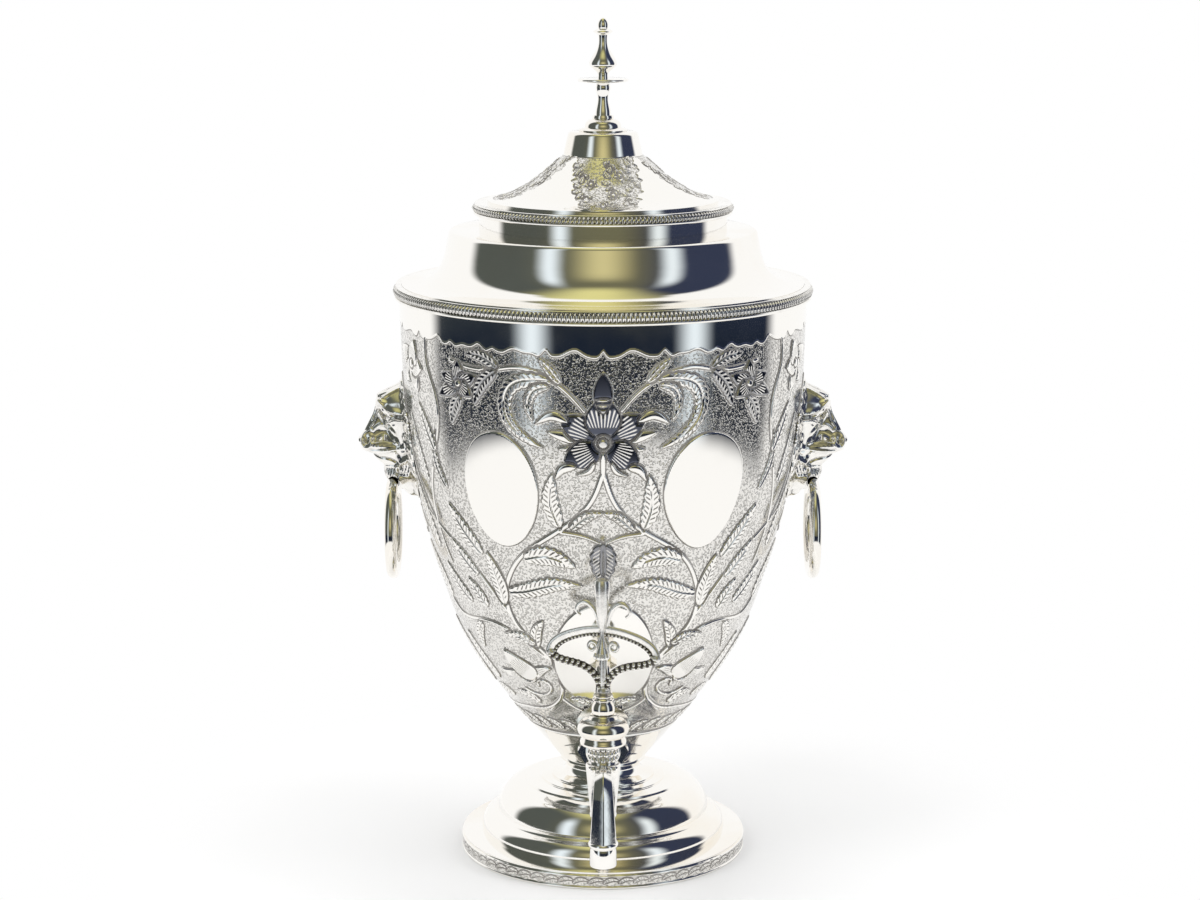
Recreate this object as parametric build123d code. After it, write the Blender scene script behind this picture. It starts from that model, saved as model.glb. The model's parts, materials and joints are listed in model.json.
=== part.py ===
from build123d import *
from math import atan, degrees, sqrt
import os

os.makedirs("parts", exist_ok=True)

# Silver-plated hot-water urn, in millimetres. It stands on z = 0 about the upright axis, its tap towards -Y.
# Heights called a rise, a drop or a lift are measured from the piece that carries the next one.

# Clearances
running_gap = 0.05
loose_gap = 0.3
seat_gap = 0.02

# Foot
foot_radius = 82.7
foot_band_height = 8.3
foot_band_wall = 1.5
foot_rest_width = 3.2
foot_rest_height = 1.4
foot_sheet = 1.3
foot_top_edge = 1.6
cove_radius = 70.6
cove_rise = 1.0
cove_depth = 1.0
cove_middle = 7.5
bead_overhang = 2.0
bead_lap = 1.2
bead_crown = 0.9
dome_swell = 5.0
dome_swell_rise = 9.6
bead_radius = 62.6
bead_height = 22.4
dome_radius = 46.9
dome_height = 39.4
stem_step_radius = 36.0
stem_inner_step_radius = 30.0
stem_step_rise = 2.4
stem_lip = 0.5
stem_lip_rise = 1.1
stem_flange_inset = 1.5
stem_flange_slope = 1.0
stem_flange_rise = 1.2
stem_flange_top = 1.6
stem_shoulder = 5.4
stem_shoulder_rise = 1.0
stem_waist_radius = 21.4
stem_bead_radius = 24.9
stem_bead_height = 1.8
stem_bead_inset = 2.0
stem_bead_top_inset = 1.0
foot_height = 54.4

# Fixing of the foot
stud_radius = 3.0
stud_head_radius = 8.0
stud_head_height = 2.0
stud_tail = 12.0
foot_washer_radius = 9.0
foot_washer_height = 1.5
foot_nut_flats = 11.0
foot_nut_height = 5.0

# Bowl
vase_sheet = 1.4
vase_floor = 2.6
vase_foot_radius = 24.4
vase_top_radius = 115.2
seam_height = 324.0
vase_curve = (
    (0.0835, 0.209),
    (0.171, 0.414),
    (0.2956, 0.639),
    (0.4284, 0.777),
    (0.5641, 0.882),
    (0.8405, 0.988),
)

# Shoulder
shoulder_sheet = 1.3
shoulder_lap = 6.0
rim_radius = 118.8
rim_height = 7.5
rim_bead = 1.1
shoulder_edge_rise = 0.4
slope_radius = 100.0
slope_rise = 2.3
riser_foot_radius = 92.5
riser_foot_rise = 16.5
riser_radius = 89.0
riser_middle_rise = 26.0
riser_top_radius = 87.2
ledge_rise = 37.8
ledge_round = 2.2
neck_radius = 70.0
neck_wall = 1.4
neck_height = 9.2

# Lid
lid_rim_radius = 73.8
lid_rim_height = 6.0
lid_rim_width = 9.8
lid_sheet = 1.2
lid_edge_radius = 65.0
lid_edge_rise = 1.6
lid_edge_inset = 2.0
lid_edge_slope = 0.5
lid_skirt = ((47.5, 7.7), (39.3, 15.0), (32.0, 21.8), (25.0, 25.8))
cap_radius = 22.2
cap_top_radius = 19.8
cap_low = 27.0
cap_height = 12.6
cap_round = 1.8
bezel_wall = 1.2
bezel_depth = 9.0

# Finial, each height measured from the piece below
rod_radius = 1.5
base_radius = 13.6
base_flange = 2.2
base_dome_radius = 10.2
base_dome_height = 4.6
base_collar_radius = 5.8
base_collar_height = 2.2
stem_height = 18.6
stem_low_radius = 4.5
stem_narrow_radius = 3.2
stem_top_radius = 4.2
disc_radius = 14.2
disc_height = 1.8
bell_height = 24.0
bell_neck_radius = 3.1
bell_radius = 7.6
bell_top_radius = 2.7
tip_height = 9.6
tip_collar_radius = 5.5
tip_bud_radius = 2.8
finial_washer_radius = 6.0
finial_washer_height = 1.0
finial_nut_flats = 6.0
finial_nut_height = 3.0
rod_over = 1.0

# Lion masks, each with the eye for its ring standing out beyond the bowl's top
mask_eye_stand = 5.3
mask_eye_height = 216.0
mask_depth = 12.0
mask_half_width = 25.0
mask_half_height = 38.0
mask_way_half = 12.0
mask_stud_heights = (231.0, 258.0)
mask_stud_radius = 2.0
mask_stud_length = 9.0
mask_washer_radius = 4.5
mask_washer_height = 1.0
mask_nut_flats = 6.5
mask_nut_height = 3.0
mask_washer_gap = 0.25

# Drop rings
ring_radius = 26.4
ring_wire = 3.4

# Heating core
core_radius = 24.0
core_wall = 1.5
core_floor = 2.0
core_height = 243.0
core_cap_height = 3.0
core_cap_over = 1.5
core_plug_depth = 8.0
knob_radius = 6.0
knob_height = 12.0
slug_radius = 19.0
slug_length = 145.0
slug_chamfer = 3.0
eye_ring_radius = 7.0
eye_ring_wire = 1.8

# Tap
water_height = 87.0
tap_stand = 8.8
spout_reach = 21.0
tail_length = 22.8
water_radius = 3.2
shank_radius = 7.0
shank_inside = 3.0
escutcheon_radius = 15.0
escutcheon_sheet = 1.6
flange_radius = 9.5
flange_width = 2.0
gasket_width = 1.2
union_flats = 24.0
union_wall = 2.0
barrel_rise = 14.0
barrel_drop = 30.0
barrel_top_radius = 10.4
barrel_bottom_radius = 7.2
plug_top_radius = 6.6
plug_bottom_radius = 4.8
tail_radius = 8.0
spout_flats = 13.2
spout_bend = 10.0
spout_bore = 4.0
spout_drop = 37.0
spout_collar_radius = 8.6
spout_collar_width = 2.4
spout_collar_bite = 1.0
nozzle_radius = 7.3
nozzle_ring_radius = 8.1
nozzle_ring_height = 3.0
nozzle_length = 13.7
plug_tail_radius = 2.6
plug_washer_radius = 6.2
plug_washer_height = 1.0
plug_nut_flats = 8.0
plug_nut_height = 3.2
plug_tail_over = 1.5
bonnet_radius = 13.9
bonnet_rim_radius = 12.4
bonnet_lap = 3.0
bonnet_lip = 0.8
bonnet_waist_inset = 1.6
bonnet_waist_rise = 3.0
bonnet_rise = 13.5
bonnet_crown = 2.0
key_neck_radius = 5.0
key_neck_rise = 5.5
key_collar_radius = 5.7
collar_half_height = 5.4

# Key of the tap, drawn in its own plane and turned as the photograph shows it
key_turn = 14.5
key_root_radius = 4.3
arm_wire = 2.3
arm_bend = 3.0
arm_reach = 30.2
arm_ball_radius = 2.9
arm_spring = 6.6
arm_rise = 15.2
hoop_height = 16.4
hoop_wall = 2.8
hoop_width = 5.0
post_radius = 2.4
grip_lift = 14.0
grip_waist_rise = 10.5
petal_rise = 33.8
grip_foot_radius = 4.2
grip_waist_radius = 1.5
petal_radius = 3.9
petal_edge = 1.5
scroll_wire = 1.4
scroll_bend = 2.0
scroll_reach = 15.6
scroll_rise = 20.5
scroll_fall = 8.0
volute_radius = 2.8
volute_wire = 1.1
volute_bend = 1.5
volute_width = 3.6
volute_reach = 6.4
volute_rise = 5.6

# Shape of a lion's head, as shares of its depth, half width and half height: places from the eye, then sizes
mask_lumps = {
    "mane": ((-0.96, 0.0, 0.71), (1.0, 1.0, 1.0)),
    "face": ((-0.13, 0.0, 0.9), (1.17, 0.74, 0.53)),
    "brow": ((0.58, 0.0, 1.13), (0.58, 0.52, 0.2)),
    "nose": ((0.71, 0.0, 0.71), (0.83, 0.34, 0.29)),
    "muzzle": ((1.04, 0.0, 0.47), (0.62, 0.4, 0.18)),
    "jaw": ((0.0, 0.0, 0.0), (0.71, 0.32, 0.37)),
    "left_ear": ((-0.88, 0.84, 1.32), (0.5, 0.24, 0.18)),
    "right_ear": ((-0.88, -0.84, 1.32), (0.5, 0.24, 0.18)),
}

# Fineness of the drawn curves
spline_spans = 10
join_limit = 0.001
halvings = 30

# Heights and places worked out from the sizes above
ledge_height = seam_height + ledge_rise
mask_eye_out = vase_top_radius + mask_eye_stand
neck_top = ledge_height + neck_height
lid_base = neck_top
skirt_base = lid_base + lid_rim_height
cap_base = skirt_base + cap_low
cap_top = cap_base + cap_height
base_top = cap_top + base_flange + base_dome_height + base_collar_height
stem_top = base_top + stem_height
disc_top = stem_top + disc_height
bell_top = disc_top + bell_height
vase_rise = seam_height - foot_height
vase_spread = vase_top_radius - vase_foot_radius
vase_middle = [(vase_foot_radius + s * vase_spread, foot_height + h * vase_rise) for h, s in vase_curve]
vase_points = [(vase_foot_radius, foot_height), *vase_middle, (vase_top_radius, seam_height)]
floor_top = foot_height + vase_floor
tap_out = vase_top_radius + tap_stand
spout_out = tap_out + spout_reach
shank_end = tap_out - tail_length - gasket_width
barrel_top = water_height + barrel_rise
barrel_bottom = water_height - barrel_drop
spout_bottom = water_height - spout_drop
bonnet_low = barrel_top - bonnet_lap
bonnet_waist = barrel_top + bonnet_waist_rise
bonnet_top = barrel_top + bonnet_rise
key_top = bonnet_top + key_neck_rise
collar_top = key_top + collar_half_height
arm_foot = collar_top + arm_spring
arm_end = arm_foot + arm_rise
grip_foot = arm_foot + grip_lift
grip_waist = grip_foot + grip_waist_rise
grip_top = grip_waist + petal_rise
scroll_top = grip_waist + scroll_rise
volute_height = grip_foot + volute_rise


def lathe(outline):
    """Turn a closed outline, drawn as radius and height, about the upright axis."""
    return revolve(Plane.XZ * outline, Axis.Z)


def closed(points):
    """Closed outline with straight sides."""
    return make_face(Polyline(*points, close=True))


def tube(inner, outer, low, high):
    """Plain ring about the upright axis."""
    return lathe(closed([(inner, low), (outer, low), (outer, high), (inner, high)]))


def rod(radius, low, high):
    """Plain round bar about the upright axis."""
    return Pos(0, 0, low) * Cylinder(radius, high - low, align=(Align.CENTER, Align.CENTER, Align.MIN))


def redrawn(edge):
    """The same edge, with an offset curve drawn again as a spline through points on it."""
    if edge.geom_type in (GeomType.LINE, GeomType.CIRCLE, GeomType.BSPLINE):
        return edge
    return Spline(*[edge @ (i / spline_spans) for i in range(spline_spans + 1)])


def sheet(line, wall):
    """Spun sheet: a line with its wall on the inside, turned about the axis."""
    section = offset(line, amount=wall, side=Side.LEFT, closed=True)
    return lathe(Face(Wire.combine([redrawn(edge) for edge in section.edges()], join_limit)[0]))


def nut(flats, bore, low, height):
    """Hexagon nut about the upright axis."""
    body = extrude(RegularPolygon(flats / 2, 6, major_radius=False), height)
    return Pos(0, 0, low) * body - rod(bore, low, low + height)


def outer_bowl(grow=0.0):
    """Solid space inside the bowl's outer surface, or that surface moved out by a sheet's wall."""
    curve = Spline(*[(r + grow, z) for r, z in vase_points])
    top = Line((vase_top_radius + grow, seam_height), (0, seam_height))
    axis = Line((0, seam_height), (0, foot_height))
    floor = Line((0, foot_height), (vase_foot_radius + grow, foot_height))
    return lathe(make_face(curve + top + axis + floor))


def foot_edge_band():
    """Upright band round the foot, with the rolled edge that the urn stands on."""
    inner = foot_radius - foot_band_wall
    rest = foot_radius - foot_rest_width
    points = [
        (rest, 0),
        (foot_radius, 0),
        (foot_radius, foot_band_height),
        (inner, foot_band_height),
        (inner, foot_rest_height),
        (rest, foot_rest_height),
    ]
    return lathe(closed(points))


def foot_shell():
    """Raised foot: flat border, cove, bead and dome, with a hole for the stud."""
    border = foot_band_height + foot_sheet
    cove_foot = (cove_radius, border + cove_rise)
    ledge = Line((foot_radius - foot_top_edge / 2, border), cove_foot)
    cove_top = (bead_radius + bead_overhang, bead_height - bead_lap)
    cove = ThreePointArc(cove_foot, (cove_radius - cove_depth, border + cove_middle), cove_top)
    dome_foot = (bead_radius - bead_lap, bead_height + cove_depth)
    bead = ThreePointArc(cove_top, (bead_radius + bead_crown, bead_height), dome_foot)
    dome_top = (dome_radius, dome_height)
    dome = ThreePointArc(dome_foot, (bead_radius - dome_swell, bead_height + dome_swell_rise), dome_top)
    flat = Line(dome_top, (stud_radius + running_gap, dome_height))
    return sheet(ledge + cove + bead + dome + flat, foot_sheet)


def foot_stem():
    """Turned neck between the dome and the bowl, stepped below and beaded above."""
    bore = stud_radius + running_gap
    flange_edge = dome_radius - stem_flange_inset
    step = dome_height + stem_step_rise
    lip = step + stem_lip + stem_lip_rise
    waist_foot = (stem_inner_step_radius - stem_shoulder, lip + stem_shoulder_rise)
    steps = Polyline(
        (bore, dome_height),
        (flange_edge, dome_height),
        (flange_edge - stem_flange_slope, dome_height + stem_flange_rise),
        (stem_step_radius, dome_height + stem_flange_top),
        (stem_step_radius, step),
        (stem_inner_step_radius, step + stem_lip),
        (stem_inner_step_radius, lip),
        waist_foot,
    )
    bead_low = foot_height - stem_bead_height
    waist_height = (waist_foot[1] + bead_low) / 2
    waist_end = (stem_bead_radius - stem_bead_inset, bead_low)
    waist = ThreePointArc(waist_foot, (stem_waist_radius, waist_height), waist_end)
    bead_top = (stem_bead_radius - stem_bead_top_inset, foot_height)
    bead = ThreePointArc(waist_end, (stem_bead_radius, foot_height - stem_bead_height / 2), bead_top)
    recess = foot_height - stud_head_height - seat_gap
    top = Polyline(
        bead_top,
        (stud_head_radius + loose_gap, foot_height),
        (stud_head_radius + loose_gap, recess),
        (bore, recess),
        (bore, dome_height),
    )
    return lathe(make_face(steps + waist + bead + top))


def foot_stud():
    """Stud under the bowl's floor, with its head let into the stem."""
    head_low = foot_height - stud_head_height
    return rod(stud_head_radius, head_low, foot_height) + rod(stud_radius, dome_height - stud_tail, head_low)


def foot_fixings():
    """Washer and nut inside the foot, under its dome."""
    under = dome_height - foot_sheet
    washer = tube(stud_radius + running_gap, foot_washer_radius, under - foot_washer_height, under)
    low = under - foot_washer_height - foot_nut_height
    return washer, nut(foot_nut_flats, stud_radius + running_gap, low, foot_nut_height)


def vase_shell():
    """Raised bowl with a flat floor, open at the seam, with holes for the shank and the mask studs."""
    wall = sheet(Spline(*vase_points), vase_sheet)
    inside = outer_bowl() & rod(vase_top_radius, foot_height, floor_top)
    bowl = wall + inside - shank_hole()
    for side in (1, -1):
        for height in mask_stud_heights:
            bowl -= mask_place(side, height) * Cylinder(mask_stud_radius + running_gap, 2 * mask_stud_length)
    return bowl


def shank_hole():
    """Round way through the front of the bowl for the tap's pipe."""
    radius = shank_radius + running_gap
    return Pos(0, -shank_end / 2, water_height) * Rot(90, 0, 0) * Cylinder(radius, shank_end)


def shoulder_shell():
    """Shoulder sheet: a lap inside the bowl, a shallow slope, a tall riser and the ledge round the mouth."""
    lap = vase_top_radius - vase_sheet - running_gap
    edge = seam_height + rim_height
    slope_start = (lap, edge + shoulder_edge_rise)
    riser_start = (riser_radius, seam_height + riser_middle_rise)
    skirt = Line((lap, seam_height - shoulder_lap), slope_start)
    riser_foot = (riser_foot_radius, seam_height + riser_foot_rise)
    slope = Spline(slope_start, (slope_radius, edge + slope_rise), riser_foot, riser_start)
    riser_end = (riser_top_radius, ledge_height - ledge_round)
    riser = Line(riser_start, riser_end)
    corner = (riser_top_radius - 0.3 * ledge_round, ledge_height - 0.3 * ledge_round)
    crown = ThreePointArc(riser_end, corner, (riser_top_radius - ledge_round, ledge_height))
    mouth = neck_radius - neck_wall
    ledge = Line((riser_top_radius - ledge_round, ledge_height), (mouth, ledge_height))
    return sheet(skirt + slope + riser + crown + ledge, shoulder_sheet)


def rope_ring(inner, outer, low, height, bead):
    """Section of a rope-edged wire: a round swell between two thin beads."""
    high = low + height
    base = outer - 2.2 * bead
    swell = ThreePointArc((base, low + 2 * bead), (outer, (low + high) / 2), (base, high - 2 * bead))
    upper = ThreePointArc((base, high - 2 * bead), (base + bead, high - bead), (base, high))
    lower = ThreePointArc((base, low), (base + bead, low + bead), (base, low + 2 * bead))
    back = Polyline((base, high), (inner, high), (inner, low), (base, low))
    return lathe(make_face(swell + upper + back + lower))


def shoulder_rim():
    """Rope-edged wire that covers the seam of bowl and shoulder."""
    inner = vase_top_radius - vase_sheet
    return rope_ring(inner, rim_radius, seam_height, rim_height, rim_bead)


def neck_collar():
    """Upright mouth of the urn, on the shoulder's ledge."""
    return tube(neck_radius - neck_wall, neck_radius, ledge_height, neck_top)


def lid_rim():
    """Rope-edged wire of the lid, which rests on the mouth."""
    return rope_ring(lid_rim_radius - lid_rim_width, lid_rim_radius, lid_base, lid_rim_height, rim_bead)


def lid_bezel():
    """Sleeve under the lid that keeps it central in the mouth."""
    outer = neck_radius - neck_wall - loose_gap
    return tube(outer - bezel_wall, outer, lid_base - bezel_depth, lid_base)


def lid_shell():
    """Raised lid: a small step, then a skirt that sweeps up to the cap."""
    start = (lid_edge_radius - lid_edge_inset, skirt_base + lid_edge_rise + lid_edge_slope)
    step = Polyline((lid_edge_radius, skirt_base), (lid_edge_radius, skirt_base + lid_edge_rise), start)
    points = [(r, skirt_base + h) for r, h in lid_skirt]
    skirt = Spline(start, *points, (cap_radius, cap_base))
    return sheet(step + skirt, lid_sheet)


def lid_cap():
    """Plain tapered cap that carries the finial."""
    side = Line((cap_radius, cap_base), (cap_top_radius, cap_top - cap_round))
    corner = (cap_top_radius - 0.4 * cap_round, cap_top - 0.35 * cap_round)
    flat_edge = (cap_top_radius - cap_round, cap_top)
    crown = ThreePointArc((cap_top_radius, cap_top - cap_round), corner, flat_edge)
    top = Line(flat_edge, (rod_radius + running_gap, cap_top))
    return sheet(side + crown + top, lid_sheet)


def bored(outline):
    """Turned piece of the finial, with the bore for the rod."""
    return lathe(outline) - rod(rod_radius + running_gap, cap_base, bell_top + tip_height / 2 + seat_gap)


def finial_base():
    """Flange, small dome and collar at the foot of the finial."""
    low = cap_top
    dome_low = low + base_flange
    dome_high = dome_low + base_dome_height
    edge = (base_radius, low + base_flange / 2)
    flange = Polyline((0, low), (base_radius, low), edge, (base_dome_radius, dome_low))
    bend = (0.9 * base_dome_radius, dome_low + 0.7 * base_dome_height)
    dome = ThreePointArc((base_dome_radius, dome_low), bend, (base_collar_radius, dome_high))
    collar = Line((base_collar_radius, dome_high), (base_collar_radius, base_top))
    rest = Polyline((base_collar_radius, base_top), (0, base_top), (0, low))
    return bored(make_face(flange + dome + collar + rest))


def finial_stem():
    """Slender baluster."""
    high = stem_top
    side = Spline(
        (stem_low_radius, base_top),
        (stem_low_radius - 0.1, base_top + 0.12 * stem_height),
        (stem_narrow_radius, base_top + 0.55 * stem_height),
        (stem_top_radius, base_top + 0.85 * stem_height),
        (stem_narrow_radius, high),
    )
    rest = Polyline((stem_narrow_radius, high), (0, high), (0, base_top), (stem_low_radius, base_top))
    return bored(make_face(side + rest))


def finial_disc():
    """Thin disc with a rounded edge."""
    middle = (disc_radius, stem_top + disc_height / 2)
    edge_radius = disc_radius - disc_height / 2
    edge = ThreePointArc((edge_radius, stem_top), middle, (edge_radius, disc_top))
    rest = Polyline((edge_radius, disc_top), (0, disc_top), (0, stem_top), (edge_radius, stem_top))
    return bored(make_face(edge + rest))


def finial_bell():
    """Bell on a short neck, drawn out to a thin top."""
    side = Spline(
        (bell_neck_radius, disc_top),
        (bell_neck_radius, disc_top + 0.12 * bell_height),
        (bell_radius, disc_top + 0.3 * bell_height),
        (0.72 * bell_radius, disc_top + 0.55 * bell_height),
        (bell_top_radius, disc_top + 0.8 * bell_height),
        (bell_top_radius, bell_top),
    )
    rest = Polyline((bell_top_radius, bell_top), (0, bell_top), (0, disc_top), (bell_neck_radius, disc_top))
    return bored(make_face(side + rest))


def finial_tip():
    """Flared collar and closed bud at the very top."""
    collar_top = bell_top + 0.36 * tip_height
    high = bell_top + tip_height
    rim = (tip_collar_radius, bell_top + 0.2 * tip_height)
    flare = Polyline((0, bell_top), (bell_top_radius, bell_top), rim)
    edge = Line(rim, (tip_bud_radius, collar_top))
    bulge = (1.05 * tip_bud_radius, high - 0.3 * tip_height)
    bud = Spline((tip_bud_radius, collar_top), bulge, (0, high), tangents=((0.3, 1), (-1, 0.3)))
    return bored(make_face(flare + edge + bud + Line((0, high), (0, bell_top))))


def finial_rod():
    """Threaded rod through the finial and the cap."""
    low = cap_top - lid_sheet - finial_washer_height - finial_nut_height - rod_over
    return rod(rod_radius, low, bell_top + tip_height / 2)


def finial_fixings():
    """Washer and nut under the cap."""
    under = cap_top - lid_sheet
    bore = rod_radius + running_gap
    washer = tube(bore, finial_washer_radius, under - finial_washer_height, under)
    low = under - finial_washer_height - finial_nut_height
    return washer, nut(finial_nut_flats, bore, low, finial_nut_height)


def egg(place, size):
    """Rounded lump of a mask, given by its place from the ring's eye and its half sizes, as shares."""
    unit = (mask_depth, mask_half_width, mask_half_height)
    out, side, up = [share * length for share, length in zip(place, unit)]
    half_sizes = [share * length for share, length in zip(size, unit)]
    return Pos(mask_eye_out + out, side, mask_eye_height + up) * scale(Sphere(1), by=tuple(half_sizes))


def eye_hole():
    """Way through the lion's mouth, flared at both ends as the round ring needs to swing."""
    inner = ring_radius - ring_wire - running_gap
    half = mask_way_half
    end = ring_radius - sqrt(inner**2 - half**2)
    throat = ring_radius - inner
    side = ThreePointArc((end, -half), (throat, 0), (end, half))
    rest = Polyline((end, half), (0, half), (0, -half), (end, -half))
    way = Rot(-90, 0, 0) * lathe(make_face(side + rest))
    return Pos(mask_eye_out, 0, mask_eye_height) * way


def mask():
    """Cast lion head on the right of the urn, with its back shaped to the bowl and its mouth bored."""
    lumps = [egg(place, size) for place, size in mask_lumps.values()]
    head = lumps[0].fuse(*lumps[1:]) - outer_bowl() - eye_hole()
    return head.solids().sort_by(SortBy.VOLUME)[-1]


def bowl_wall(height):
    """Outer radius of the bowl at a height, and its lean in degrees, found by halving along its curve."""
    curve = Spline(*vase_points)
    low, high = 0.0, 1.0
    for _ in range(halvings):
        middle = (low + high) / 2
        if (curve @ middle).Y < height:
            low = middle
        else:
            high = middle
    run = curve % low
    return (curve @ low).X, degrees(atan(run.X / run.Y))


def mask_place(side, height):
    """Place of a mask's stud: on the wall of the bowl, square to it."""
    radius, lean = bowl_wall(height)
    return Pos(side * radius, 0, height) * Rot(0, side * (90 + lean), 0)


def mask_fixings():
    """Studs, washers and nuts that hold both masks from inside the bowl."""
    studs, washers, nuts = [], [], []
    bore = mask_stud_radius + running_gap
    for side in (1, -1):
        for height in mask_stud_heights:
            place = mask_place(side, height)
            under = -vase_sheet - mask_washer_gap
            washer_low = under - mask_washer_height
            nut_low = washer_low - mask_nut_height
            studs.append(place * rod(mask_stud_radius, -mask_stud_length, -seat_gap))
            washers.append(place * tube(bore, mask_washer_radius, washer_low, under))
            nuts.append(place * nut(mask_nut_flats, bore, nut_low, mask_nut_height))
    return studs, washers, nuts


def ring(side):
    """Drop ring, hanging edge-on to the front."""
    centre = mask_eye_height - ring_radius
    return Pos(side * mask_eye_out, 0, centre) * Rot(0, 90, 0) * Torus(ring_radius, ring_wire)


def core_tube():
    """Closed tube that keeps the iron dry, standing on the bowl's floor."""
    shell = rod(core_radius, floor_top, floor_top + core_height)
    return shell - rod(core_radius - core_wall, floor_top + core_floor, floor_top + core_height)


def core_cap():
    """Cover of the tube, with a plug that enters it."""
    low = floor_top + core_height
    plug = rod(core_radius - core_wall - loose_gap, low - core_plug_depth, low)
    return rod(core_radius + core_cap_over, low, low + core_cap_height) + plug


def core_cap_knob():
    """Turned knob on the cover."""
    low = floor_top + core_height + core_cap_height
    neck, waist, high = 0.6 * knob_radius, 0.4 * knob_radius, low + knob_height
    side = Spline(
        (neck, low),
        (waist, low + 0.25 * knob_height),
        (knob_radius, low + 0.65 * knob_height),
        (0, high),
        tangents=((-1, 1), (-1, 0)),
    )
    return lathe(make_face(side + Polyline((0, high), (0, low), (neck, low))))


def core_slug():
    """Iron that is heated in the fire."""
    low = floor_top + core_floor
    return chamfer(rod(slug_radius, low, low + slug_length).edges(), slug_chamfer)


def slug_eye():
    """Lifting eye of the iron."""
    low = floor_top + core_floor + slug_length
    centre = low + eye_ring_radius + eye_ring_wire
    loop = Pos(0, 0, centre) * Rot(90, 0, 0) * Torus(eye_ring_radius, eye_ring_wire)
    loop += rod(2 * eye_ring_wire, low, low + 1.5 * eye_ring_wire)
    return loop


def along_front(radius, start, end, height):
    """Round bar that runs forwards from one distance to another."""
    length = end - start
    return Pos(0, -(start + end) / 2, height) * Rot(90, 0, 0) * Cylinder(radius, length)


def tap_escutcheon():
    """Plate shaped to the bowl, round the tap's pipe."""
    patch = outer_bowl(1.4 * escutcheon_sheet) & along_front(escutcheon_radius, 0, shank_end, water_height)
    return patch - outer_bowl() - shank_hole()


def tap_shank():
    """Pipe from inside the bowl to the joint, with a flange at its front end."""
    start = bowl_wall(water_height - shank_radius)[0] - vase_sheet - shank_inside
    pipe = along_front(shank_radius, start, shank_end, water_height)
    pipe += along_front(flange_radius, shank_end - flange_width, shank_end, water_height)
    return pipe - along_front(water_radius, start, shank_end, water_height)


def tap_gasket():
    """Leather ring between the two flanges."""
    ring_body = along_front(flange_radius, shank_end, shank_end + gasket_width, water_height)
    return ring_body - along_front(water_radius, shank_end, shank_end + gasket_width, water_height)


def tap_union():
    """Hexagon union that draws the two flanges together."""
    start = shank_end - flange_width - union_wall
    end = shank_end + gasket_width + flange_width
    body = extrude(Plane.XZ * RegularPolygon(union_flats / 2, 6, major_radius=False), end - start)
    body = Pos(0, -start, water_height) * body
    body -= along_front(flange_radius + running_gap, start + union_wall, end, water_height)
    return body - along_front(shank_radius + running_gap, start, start + union_wall, water_height)


def taper(bottom, top, low, high):
    """Tapered bar about the upright axis."""
    return lathe(closed([(0, low), (bottom, low), (top, high), (0, high)]))


def spout_path():
    """Line of the water from the barrel to the mouth of the spout."""
    return FilletPolyline(
        (0, -tap_out, water_height),
        (0, -spout_out, water_height),
        (0, -spout_out, spout_bottom),
        radius=spout_bend,
    )


def tap_body():
    """Casting of the tap: barrel with its tapered bore, tail with a flange, and the faceted spout."""
    path = spout_path()
    section = Plane(origin=(0, -tap_out, water_height), x_dir=(1, 0, 0), z_dir=(0, -1, 0))
    facets = sweep(section * Rot(0, 0, 30) * RegularPolygon(spout_flats / 2, 6, major_radius=False), path)
    barrel = Pos(0, -tap_out, 0) * taper(barrel_bottom_radius, barrel_top_radius, barrel_bottom, barrel_top)
    tail_start = shank_end + gasket_width
    tail = along_front(tail_radius, tail_start, tap_out, water_height)
    tail += along_front(flange_radius, tail_start, tail_start + flange_width, water_height)
    collar_start = tap_out + barrel_top_radius - spout_collar_bite
    collar = along_front(spout_collar_radius, collar_start, collar_start + spout_collar_width, water_height)
    casting = facets + barrel + tail + collar
    casting -= sweep(section * Circle(spout_bore), path)
    casting -= along_front(water_radius, tail_start, tap_out, water_height)
    bore = taper(plug_bottom_radius, plug_top_radius, barrel_bottom, barrel_top)
    return casting - Pos(0, -tap_out, 0) * bore


def spout_nozzle():
    """Ringed mouth at the end of the spout."""
    ring_low = spout_bottom - nozzle_ring_height
    mouth = spout_bottom - nozzle_length
    outline = closed([
        (spout_bore, spout_bottom),
        (nozzle_ring_radius - 0.6, spout_bottom),
        (nozzle_ring_radius, spout_bottom - nozzle_ring_height / 2),
        (nozzle_ring_radius - 0.6, ring_low),
        (nozzle_radius, ring_low),
        (nozzle_radius, mouth),
        (spout_bore + 1, mouth),
        (spout_bore + 1, ring_low),
        (spout_bore, ring_low),
    ])
    return Pos(0, -spout_out, 0) * lathe(outline)


def on_key(piece):
    """Set a piece of the key, drawn about the upright axis, on the tap and turned as the key stands."""
    return Pos(0, -tap_out, 0) * Rot(0, 0, -key_turn) * piece


def tap_plug():
    """Tapered plug with its cross port, neck above and threaded tail below."""
    low = barrel_bottom - running_gap
    bottom, top = plug_bottom_radius - running_gap, plug_top_radius - running_gap
    body = taper(bottom, top, low, barrel_top + loose_gap)
    body += rod(key_neck_radius, barrel_top, key_top)
    body += rod(plug_tail_radius, low - plug_washer_height - plug_nut_height - plug_tail_over, low)
    body -= Pos(0, 0, water_height) * Rot(0, 90, 0) * Cylinder(water_radius, 4 * plug_top_radius)
    return on_key(body)


def plug_fixings():
    """Washer and nut that hold the plug down in the barrel."""
    top = barrel_bottom - running_gap
    bore = plug_tail_radius + seat_gap
    washer = tube(bore, plug_washer_radius, top - plug_washer_height, top)
    low = top - plug_washer_height - plug_nut_height
    return on_key(washer), on_key(nut(plug_nut_flats, bore, low, plug_nut_height))


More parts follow.
